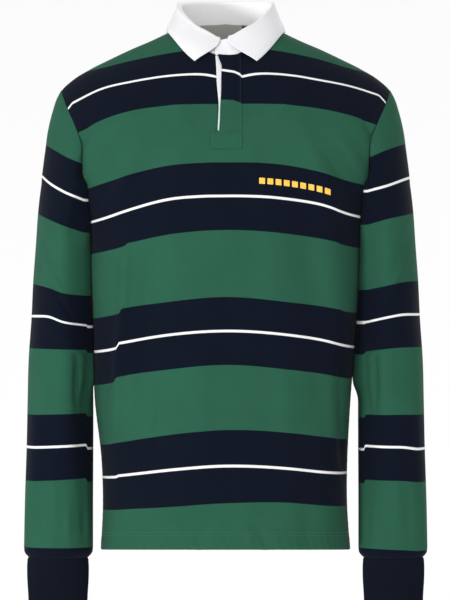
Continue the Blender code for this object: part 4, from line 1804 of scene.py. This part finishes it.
    def pouch(self, last: Array, turns: Array) -> Array:
        """The pleated rings below the lowest one, where the slack turns in over the cuff.

        Args:
            last: The lowest ring.
            turns: Angles round the sleeve, as a row.

        Returns:
            Points, a ring in each row.
        """
        centre = last.mean(axis=0)
        part = np.linspace(0, 1, self.pouch_rows + 1)[1:]
        scale = look_up(POUCH, "scale", part)[:, None, None]
        drop = look_up(POUCH, "drop", part)[:, None, None] * np.array([0.0, 0.0, 1.0])
        pleats = self.pleat_share * np.sin(turns[0] * self.pleats)
        gather = 1 + pleats[None, :, None] * part[:, None, None] ** 2
        return centre + (last - centre)[None] * scale * gather - drop

    def build(self) -> None:
        """Builds the sleeve with its seam allowance at the armhole and its pouch over the cuff."""
        turns = np.linspace(0, 2 * np.pi, self.around, endpoint=False)[None, :]
        along = steps_with_close_ends(self.along, 0.0012)[:, None]
        points = self.rings(turns, along)
        first = points[0]
        deeper = unit((first.mean(axis=0) - first) * [0.0, 1.0, 1.0])
        allowance = [first + deeper * row.deep + [self.side * row.out, 0, 0] for row in ALLOWANCE]
        points = np.concatenate([allowance, points, self.pouch(points[-1], turns)])
        flip = self.side < 0
        inward = -grid_normals(points, flip, wrap=True)
        inward[: len(ALLOWANCE) + 1] = deeper
        inward[-1, :, 2] = 0.0
        ring = running_length(points, 1)
        cloth = np.stack([ring, self.stripes(points), running_length(points, 0)], axis=-1)
        piece = cloth_wall(
            f"sleeve_jersey_{self.word}",
            Sheet(points, cloth),
            self.thickness,
            self.finishes.jersey,
            flip=flip,
            wrap=True,
            inward=unit(inward),
        )
        declare(piece, f"sleeve_{self.word}")


@dataclass(frozen=True)
class Cuff:
    """A rib cuff: level rings below the sleeve's end, with raised ribs."""

    finishes: Finishes
    side: float
    word: str
    centre: float = 0.2338
    forward: float = 0.022
    thickness: float = 0.0024
    ribs: int = 84
    samples: int = 4
    rows: int = 48
    rib_height: float = 0.00035
    fold: float = 0.0012
    bend: float = 0.0008
    rib_fade_top: float = 0.06
    rib_fade_foot: float = 0.04
    fold_top: float = 0.03
    fold_foot: float = 0.05

    def build(self) -> None:
        """Builds the cuff: the rib's outline is a cosine round the ring, and the lower edge turns in."""
        turns = np.linspace(0, 2 * np.pi, self.ribs * self.samples, endpoint=False)[None, :]
        down = steps_with_close_ends(self.rows, 0.008)[:, None]
        rows = sorted(CUFF)
        top, foot = rows[-1].height, rows[0].height
        z = top + (foot - top) * down
        fade = ease(down / self.rib_fade_top) * ease((1 - down) / self.rib_fade_foot)
        wave = self.rib_height * np.cos(turns * self.ribs) * fade
        bow = -self.fold * (bell(down - 1.0, self.fold_foot) + bell(down, self.fold_top))
        half = look_up(CUFF, "half", z) + wave + bow
        deep = look_up(CUFF, "depth", z) + wave + bow
        bend = self.bend * np.sin(2 * turns + 5 * down) * ease(down / 0.2)
        x = self.side * (self.centre + (half + bend) * np.cos(turns))
        y = -self.forward - (deep + bend) * np.sin(turns)
        points = np.stack([x, y, z + 0 * turns], axis=-1)
        flip = self.side < 0
        inward = -grid_normals(points, flip, wrap=True)
        inward[[0, -1], :, 2] = 0.0
        cloth = np.stack([running_length(points, 1), z + 0 * turns, 0 * x], axis=-1)
        piece = cloth_wall(
            f"cuff_rib_{self.word}",
            Sheet(points, cloth),
            self.thickness,
            self.finishes.rib,
            flip=flip,
            wrap=True,
            inward=unit(inward),
        )
        declare(piece, f"cuff_{self.word}")


@dataclass(frozen=True)
class Collar:
    """The white collar: a band round the neck and a leaf that rolls over it and falls on the shoulders."""

    torso: Torso
    finishes: Finishes
    rib: float = 0.0024
    twill: float = 0.0020
    fold_half: float = 0.0665
    fold_front: float = 0.0620
    fold_back: float = 0.0545
    lap_over: float = -11.9
    lap_under: float = 2.4
    lap_ramp: float = 45.0
    leaf_half: float = 0.0825
    leaf_front: float = 0.0874
    leaf_back: float = 0.0810
    start_left: float = 3.5
    start_right: float = 7.0
    start_edge: float = 31.6
    clear: float = 0.0008
    bulge: float = 0.004
    front_bulge: float = 0.005
    roll_clear: float = 0.0007
    tuck: float = 180.0
    inner_depth: float = 0.985
    inner_rows: int = 16
    swing: float = 0.5
    off_band: float = 0.003
    landing: float = 0.30
    rest_tilt: float = 0.5
    edge_stitch: float = 0.0055
    edge_groove: float = 0.00035
    edge_width: float = 0.0012
    stitch_row: int = 18
    # Where the painted light on the leaf's tucked inside ends, and over how many rows it fades out.
    painted_light_row: int = 4
    painted_light_fade: int = 6
    stitch_radius: float = 0.00022

    def fold_height(self, angles: Array) -> Array:
        """Height of the fold at angles from the middle front, which is lower on the wearer's right."""
        signed = (angles + 180) % 360 - 180
        left = look_up(COLLAR_FOLD, "left", np.abs(signed))
        return np.where(signed > 0, left, look_up(COLLAR_FOLD, "right", np.abs(signed)))

    def build_band(self) -> None:
        """Builds the band: it starts under the lap, runs round the back and ends over the lap."""
        torso = self.torso
        angles = np.linspace(self.lap_under, -360 + self.lap_over, 260)
        under = ease((self.lap_ramp + angles) / (self.lap_ramp + self.lap_over))
        shift = -(self.rib + torso.seam) * under
        seam_x, seam_y = torso.around_neck(angles, torso.neck_half, torso.neck_front, torso.neck_back)
        low = np.stack([seam_x, seam_y, torso.rest_height(seam_x, seam_y) + torso.seam], axis=-1)
        low[:, :2] *= 1 + shift[:, None] / torso.neck_half
        half, front = self.fold_half + shift, self.fold_front + shift
        top_x, top_y = torso.around_neck(angles, half, front, self.fold_back)
        top = np.stack([top_x, top_y, self.fold_height(angles)], axis=-1)
        part = steps_with_close_ends(14, 0.02)[:, None, None]
        points = low + (top - low) * part
        cloth = np.stack([running_length(points, 1), running_length(points, 0), 0 * points[..., 0]], axis=-1)
        piece = cloth_wall("collar_band", Sheet(points, cloth), self.rib, self.finishes.twill, flip=True)
        declare(piece, "collar_stand")

    def leaf_points(self) -> Array:
        """The leaf's outer grid: up the band's inside, over its top, then a cubic curve down to the cloth.

        Returns:
            Points, rows from the tucked inner edge to the free edge.
        """
        torso = self.torso
        part = steps_with_close_ends(220, 0.003)[None, :]
        fold_angle = self.start_left + (360 - self.start_left - self.start_right) * part
        edge_angle = self.start_edge + (360 - 2 * self.start_edge) * part
        fold_x, fold_y = torso.around_neck(fold_angle, self.fold_half, self.fold_front, self.fold_back)
        slopes = [fold_x / self.fold_half**2, fold_y / self.fold_front**2, 0 * fold_x]
        outward = unit(np.stack(slopes, axis=-1))
        fold = np.stack([fold_x, fold_y, self.fold_height(fold_angle)], axis=-1)
        rim = fold - outward * self.rib / 2
        radius = self.rib / 2 + self.roll_clear + self.twill
        bend = np.radians(np.linspace(self.tuck, 0, 15))[:, None, None]
        up = np.array([0.0, 0.0, 1.0])
        roll = rim + radius * (np.cos(bend) * outward + np.sin(bend) * up)
        neck_x, neck_y = torso.around_neck(fold_angle, torso.neck_half, torso.neck_front, torso.neck_back)
        band = np.stack([neck_x, neck_y, torso.rest_height(neck_x, neck_y)], axis=-1) - fold
        depth = self.inner_depth * np.linspace(1, 0, self.inner_rows + 1)[:-1, None, None]
        inside = roll[:1] + band * depth
        edge_x, edge_y = torso.around_neck(edge_angle, self.leaf_half, self.leaf_front, self.leaf_back)
        edge = np.stack([edge_x, edge_y, torso.rest_height(edge_x, edge_y)], axis=-1)
        edge = edge + (self.clear + self.twill) * unit(outward * self.rest_tilt + up)
        start = roll[-1:]
        down = start + band * self.swing + outward * self.off_band
        front = np.clip(np.cos(np.radians(fold_angle)), 0, 1)[..., None]
        near = edge + (start - edge) * self.landing + outward * (self.bulge + self.front_bulge * front)
        t = steps_with_close_ends(44, 0.012)[1:, None, None]
        fall = (1 - t) ** 3 * start + 3 * t * (1 - t) ** 2 * down + 3 * t * t * (1 - t) * near + t**3 * edge
        return np.concatenate([inside, roll, fall])

    def build_leaf(self) -> None:
        """Builds the leaf with a shallow groove along its edge stitching."""
        points = self.leaf_points()
        down = running_length(points, 0)
        from_edge = down[-1:] - down
        row = running_length(points, 1)
        from_end = np.minimum(row, row[:, -1:] - row)
        inset = np.minimum(from_edge, from_end)
        groove = self.edge_groove * bell(inset - self.edge_stitch, self.edge_width)
        points = points - groove[..., None] * grid_normals(points, True)
        # Painted light mask: 1 on the tucked inside rows, where the material paints the brighter inner white
        # over the shade, fading to 0 beyond them.
        inside = 1 - ease((np.arange(len(row)) - self.inner_rows - self.painted_light_row) / self.painted_light_fade)
        cloth = np.stack([row, down, inside[:, None] + 0 * row], axis=-1)
        piece = cloth_wall("collar_leaf", Sheet(points, cloth), self.twill, self.finishes.twill, flip=True)
        declare(piece, "collar_fall")

    def build_stitching(self) -> None:
        """Sews the line that follows the leaf's three free edges."""
        points = self.leaf_points()
        outer = grid_normals(points, True)
        down = running_length(points, 0)
        row = running_length(points, 1)
        middle = down[:, row.shape[1] // 2]
        end_row = int(np.argmin(np.abs((middle[-1] - middle) - self.edge_stitch)))
        first = int(np.argmin(np.abs(row[-1] - self.edge_stitch)))
        last = int(np.argmin(np.abs((row[-1, -1] - row[-1]) - self.edge_stitch)))
        start_row = self.inner_rows + self.stitch_row
        path = [(r, first) for r in range(start_row, end_row)]
        path += [(end_row, c) for c in range(first, last + 1)]
        path += [(r, last) for r in range(end_row - 1, start_row - 1, -1)]
        chosen = tuple(np.array(path).T)
        lines = [(points[chosen], outer[chosen])]
        thread = Thread(radius=self.stitch_radius)
        piece = sew("collar_edge_stitching", thread, lines, self.finishes.white_thread)
        declare(piece)


@dataclass(frozen=True)
class Placket:
    """The fly front: a striped flap with a sewn box at its foot, over a white facing."""

    torso: Torso
    finishes: Finishes
    thickness: float = 0.0016
    facing_thickness: float = 0.0012
    stitched: float = 0.0222
    base: float = -0.167
    box_top: float = -0.1452
    box_left: float = -0.0198
    lift: float = 0.0024
    stitched_lift: float = 0.0010
    facing_left: float = -0.0240
    facing_right: float = 0.0130
    facing_bottom: float = -0.152
    facing_lift: float = 0.0032
    facing_proud: float = 0.0027
    tuck: float = 0.0015
    stitch_top: float = -0.1385
    stitch_gap: float = 0.0048
    sag: float = 0.0012
    neckline: float = -0.036
    stripe_rise: float = 0.0057
    pin_rise: float = 0.0044
    navy_from: float = -0.106
    navy_to: float = -0.040
    inset: float = 0.0022
    stitch_radius: float = 0.00025
    low_row: float = 0.0006
    twin_row: float = 0.0004
    side_row_short: float = 0.005
    twin_row_from: int = 8
    top_tuck: float = 0.0005
    widen_over: float = 0.002
    proud_from: float = 0.0002
    proud_ramp: float = 0.0006
    proud_to: float = -0.0015
    proud_end: float = 0.003
    proud_foot: float = -0.150
    proud_rise: float = 0.004
    puff: float = 0.0012
    puff_height: float = -0.060
    puff_reach: float = 0.020
    puff_at: float = 0.05
    puff_width: float = 0.35
    kink: float = 0.0009
    kink_at: float = 0.78
    kink_width: float = 0.10
    kink_foot: float = -0.12
    foot_groove: float = 0.0005
    foot_height: float = -0.1640
    foot_width: float = 0.0012
    groove: float = 0.0009
    groove_width: float = 0.0013

    def flap_grid(self) -> tuple[Array, Array, Array]:
        """x, z and the part from the free edge to the stitched one, on the flap's grid.

        Returns:
            Three grids.
        """
        part = steps_with_close_ends(22, 0.02)[None, :]
        rise = steps_with_close_ends(70, 0.006)[:, None]
        neck_edge = look_up(FLAP_EDGE, "edge", self.neckline)
        neck_x = neck_edge + (self.stitched - neck_edge) * part
        top = self.torso.top_height(neck_x, Face.FRONT) - self.top_tuck
        z = self.base + (top - self.base) * rise
        left = look_up(FLAP_EDGE, "edge", z)
        widen = ease((self.box_top + self.widen_over - z) / self.widen_over)
        left = left + (self.box_left - left) * widen
        return left + (self.stitched - left) * part, z, part + 0 * z

    def build_flap(self) -> None:
        """Builds the flap, which stands off the front most along its free edge."""
        x, z, part = self.flap_grid()
        lift = self.stitched_lift + (self.lift - self.stitched_lift) * (1 - ease(part / 0.9))
        puff = bell(z - self.puff_height, self.puff_reach) * bell(part - self.puff_at, self.puff_width)
        lift = lift + self.puff * puff
        kink = self.kink * bell(part - self.kink_at, self.kink_width) * ease((z - self.kink_foot) / 0.02)
        below = z - self.stitch_top + self.sag * np.sin(np.pi * np.clip(part, 0, 1))
        twin = bell(below, self.groove_width) + bell(below + self.stitch_gap, self.groove_width)
        foot = self.foot_groove * bell(z - self.foot_height, self.foot_width)
        lift = lift - kink - self.groove * twin * ease(part / 0.1) - foot
        points = self.torso.on_body(x, z, Face.FRONT, lift)
        along = self.torso.stripes(x, z, Face.FRONT)
        pin = bell(z + self.torso.dip_height, self.torso.dip_reach)
        along = along - (self.stripe_rise + self.pin_rise * pin) * (1 - part**4)
        cloth = np.stack([x, along, part], axis=-1)
        piece = cloth_wall("flap_jersey", Sheet(points, cloth), self.thickness, self.finishes.jersey)
        declare(piece, "placket_flap")

    def build_facing(self) -> None:
        """Builds the white strip that closes the opening from behind."""
        part = steps_with_close_ends(90, 0.02)[None, :]
        rise = steps_with_close_ends(60, 0.006)[:, None]
        x = self.facing_left + (self.facing_right - self.facing_left) * part + 0 * rise
        top = self.torso.top_height(x[:1], Face.FRONT) - self.tuck
        z = self.facing_bottom + (top - self.facing_bottom) * rise
        slot = look_up(SLOT_EDGE, "edge", z)
        proud = ease((x - slot - self.proud_from) / self.proud_ramp)
        proud = proud * ease((self.proud_to - x) / self.proud_end)
        proud = proud * ease((z - self.proud_foot) / self.proud_rise)
        points = self.torso.on_body(x, z, Face.FRONT, self.facing_proud * proud - self.facing_lift)
        cloth = np.stack([x, z, 0 * x], axis=-1)
        piece = cloth_wall("facing_twill", Sheet(points, cloth), self.facing_thickness, self.finishes.twill)
        declare(piece, "placket_facing")

    def build_stitching(self) -> None:
        """Sews the box at the flap's foot and its long edge, in thread of the stripe's own colour."""
        left = self.box_left + self.inset
        right = self.stitched - self.inset
        low = self.base + self.inset
        high = self.stitch_top

        def line(xs: Array, zs: Array, lift: float) -> tuple[Array, Array]:
            """A path on the front between two places, and its normals."""
            points = self.torso.on_body(xs, zs, Face.FRONT, lift)
            return points, self.torso.normals_at(xs, zs, Face.FRONT)

        steps = np.linspace(0, 1, 40)
        across = left + (right - left) * steps
        twin = slice(self.twin_row_from, None)
        sag = self.sag * np.sin(np.pi * steps[twin])
        lines = [
            line(across, low + 0 * across, self.stitched_lift + self.low_row),
            line(across[twin], high - sag, self.stitched_lift + self.twin_row),
            line(across[twin], high - self.stitch_gap - sag, self.stitched_lift + self.twin_row),
            line(left + 0 * steps, low + (high - self.side_row_short - low) * steps, self.lift),
            line(right + 0 * steps, low + (self.navy_from - low) * steps, self.stitched_lift),
        ]
        navy = self.navy_from + (self.navy_to - self.navy_from) * steps
        upper = [line(right + 0 * steps, navy, self.stitched_lift)]
        thread = Thread(radius=self.stitch_radius)
        for name, found, finish in (
            ("placket_stitching", lines, self.finishes.green_thread),
            ("placket_top_stitching", upper, self.finishes.navy_thread),
        ):
            piece = sew(name, thread, found, finish)
            declare(piece)


@dataclass(frozen=True)
class NeckLabel:
    """The plain grey label inside the back of the neck."""

    torso: Torso
    finishes: Finishes
    centre: float = -0.0055
    half: float = 0.0285
    height: float = 0.030
    inside: float = 0.0058
    above_seam: float = 0.0004
    slope: float = 0.22
    thickness: float = 0.0010

    def build(self) -> None:
        """Builds the label."""
        part = steps_with_close_ends(40, 0.01)[None, :] * 2 - 1
        rise = steps_with_close_ends(24, 0.02)[:, None]
        x = self.centre + self.half * part + 0 * rise
        seam = self.torso.top_height(x[:1], Face.BACK)
        z = seam + self.above_seam - self.height * (1 - rise)
        edge = self.torso.neck_back * np.sqrt(1 - (x / self.torso.neck_half) ** 2) - self.inside
        back = self.slope * np.clip(seam - z, 0, None)
        points = np.stack([x, edge + back, z], axis=-1)
        cloth = np.stack([x, z, 0 * x], axis=-1)
        sheet = Sheet(points, cloth)
        piece = cloth_wall("label_satin", sheet, self.thickness, self.finishes.label, flip=True)
        declare(piece, "neck_label")


@dataclass(frozen=True)
class ChestBlocks:
    """An even row of plain satin-stitched blocks on the chest, which follows the stripe below it."""

    torso: Torso
    finishes: Finishes
    first: float = 0.0455
    last: float = 0.1440
    count: int = 9
    gap: float = 0.0030
    above: float = 0.0215
    tall: float = 0.0088
    raise_by: float = 0.0007
    threads: int = 14
    ridge: float = 0.00012
    sunk: float = 0.0003
    under: float = 0.0009

    def height_for(self, x: Array, cloth: float) -> Array:
        """The heights at which the stripes' coordinate is a given one, read back from a column of samples.

        Args:
            x: Places across.
            cloth: The wanted coordinate.

        Returns:
            The heights.
        """
        samples = np.linspace(-0.26, -0.14, 121)[:, None]
        found = self.torso.stripes(x[None, :] + 0 * samples, samples + 0 * x[None, :], Face.FRONT)
        return np.array([np.interp(cloth, found[:, i], samples[:, 0]) for i in range(len(x))])

    def block(self, number: int, width: float) -> tuple[Array, list[Array]]:
        """One block: a low dome ribbed across by its threads, closed underneath.

        Args:
            number: Its place in the row, from 0.
            width: Its width.

        Returns:
            Its vertices and its table of faces.
        """
        part = np.linspace(0, 1, self.threads * 5 + 1)[None, :]
        rise = steps_with_close_ends(12, 0.04)[:, None]
        x = self.first + number * (width + self.gap) + width * part + 0 * rise
        z = self.height_for(x[0], self.above)[None, :] + self.tall * (rise - 0.5)
        round_off = (1 - np.abs(2 * rise - 1) ** 6) * (1 - np.abs(2 * part - 1) ** 14)
        ribs = self.ridge * np.abs(np.sin(np.pi * self.threads * part))
        top = self.torso.on_body(x, z, Face.FRONT, self.raise_by * round_off + ribs - self.sunk)
        under = self.torso.on_body(x, z, Face.FRONT, -self.under + 0 * x)
        index = np.arange(x.size).reshape(x.shape)
        upper = quads(index[:-1, :-1], index[:-1, 1:], index[1:, 1:], index[1:, :-1])
        lower = upper[:, ::-1] + x.size
        ring = np.concatenate([index[0, :-1], index[:-1, -1], index[-1, :0:-1], index[:0:-1, 0]])
        after = np.roll(ring, -1)
        rim = quads(after, ring, ring + x.size, after + x.size)
        vertices = np.concatenate([top.reshape(-1, 3), under.reshape(-1, 3)])
        return vertices, [np.concatenate([upper, lower, rim])]

    def build(self) -> None:
        """Builds the blocks as one piece."""
        width = (self.last - self.first - self.gap * (self.count - 1)) / self.count
        blocks = [self.block(number, width) for number in range(self.count)]
        declare(joined("chest_blocks", blocks, self.finishes.yellow_thread))


@dataclass(frozen=True)
class Lamp:
    """A soft studio lamp: where it stands, its size and its power."""

    name: str
    place: tuple
    size: float
    power: float

    def build(self, target: tuple) -> None:
        """Adds the lamp, turned to the target.

        Args:
            target: The point that it faces.
        """
        data = bpy.data.lights.new(self.name, "AREA")
        data.shape = "DISK"
        data.size = self.size
        data.energy = self.power
        lamp = bpy.data.objects.new(self.name, data)
        lamp.location = self.place
        away = np.array(self.place) - np.array(target)
        flat = float(np.hypot(away[0], away[1]))
        lamp.rotation_euler = (float(np.arctan2(flat, away[2])), 0.0, float(np.arctan2(away[0], -away[1])))
        bpy.context.scene.collection.objects.link(lamp)


@dataclass(frozen=True)
class Studio:
    """A pale floor, soft lamps, a white surround and the camera at the photograph's place."""

    target: tuple = (0.0, 0.0, -0.37)
    camera_place: tuple = (-0.001, -5.0, -0.374)
    frame_height: float = 0.84
    sensor: float = 36.0
    floor_height: float = -1.45
    floor_half: float = 6.0
    surround: float = 0.99
    dimmer_above: float = 0.28
    lamps: tuple = (
        Lamp("key", (-2.7, -3.4, -0.95), 1.0, 86.0),
        Lamp("front", (-0.4, -5.0, 0.9), 1.6, 38.0),
        Lamp("back", (1.6, 3.4, 1.4), 2.4, 45.0),
    )

    def build(self) -> None:
        """Adds the floor, lamps, surround and camera."""
        half = self.floor_half
        corners = np.array([(-half, -half), (half, -half), (half, half), (-half, half)])
        vertices = np.hstack([corners, np.full((4, 1), self.floor_height)])
        material = Finish("pale floor").settle((0.85, 0.85, 0.86, 1.0), Roughness=0.9)
        floor = new_object("studio_floor", vertices, [[0, 1, 2, 3]], material)
        world = bpy.data.worlds.new("white surround")
        world.use_nodes = True
        background = world.node_tree.nodes["Background"]
        background.inputs["Color"].default_value = (1.0, 1.0, 1.0, 1.0)
        graph = Graph(world.node_tree)
        place = graph.node("ShaderNodeTexCoord").outputs["Generated"]
        up = graph.node("ShaderNodeSeparateXYZ", {0: place}).outputs[2]
        strength = graph.math("MULTIPLY_ADD", up, -self.dimmer_above, self.surround)
        graph.link(strength, background, "Strength")
        bpy.context.scene.world = world
        for lamp in self.lamps:
            lamp.build(self.target)
        data = bpy.data.cameras.new("photo camera")
        data.sensor_fit = "VERTICAL"
        data.sensor_height = self.sensor
        data.sensor_width = self.sensor
        data.lens = self.sensor * abs(self.camera_place[1]) / self.frame_height
        camera = bpy.data.objects.new("photo camera", data)
        camera.location = self.camera_place
        camera.rotation_euler = (np.pi / 2, 0.0, 0.0)
        bpy.context.scene.collection.objects.link(camera)
        bpy.context.scene.camera = camera
        bpy.context.scene.view_settings.view_transform = "Standard"


def build_shirt() -> None:
    """Builds every piece of the shirt in order."""
    finishes = make_finishes()
    torso = Torso()
    panels = Panels(torso, finishes)
    for face in Face:
        panels.build(face)
    for side, word in ((1.0, "left"), (-1.0, "right")):
        Sleeve(torso, finishes, side, word).build()
        Cuff(finishes, side, word).build()
    collar = Collar(torso, finishes)
    collar.build_band()
    collar.build_leaf()
    collar.build_stitching()
    placket = Placket(torso, finishes)
    placket.build_flap()
    placket.build_facing()
    placket.build_stitching()
    NeckLabel(torso, finishes).build()
    ChestBlocks(torso, finishes).build()
    lines = panels.hem_lines(Face.FRONT) + panels.hem_lines(Face.BACK)
    declare(sew("hem_stitching", Thread(), lines, finishes.green_thread))


def main() -> None:
    """Builds the shirt and the studio."""
    logging.basicConfig(level=logging.INFO, format="%(name)s %(message)s")
    build_shirt()
    Studio().build()


if __name__ == "__main__":
    main()
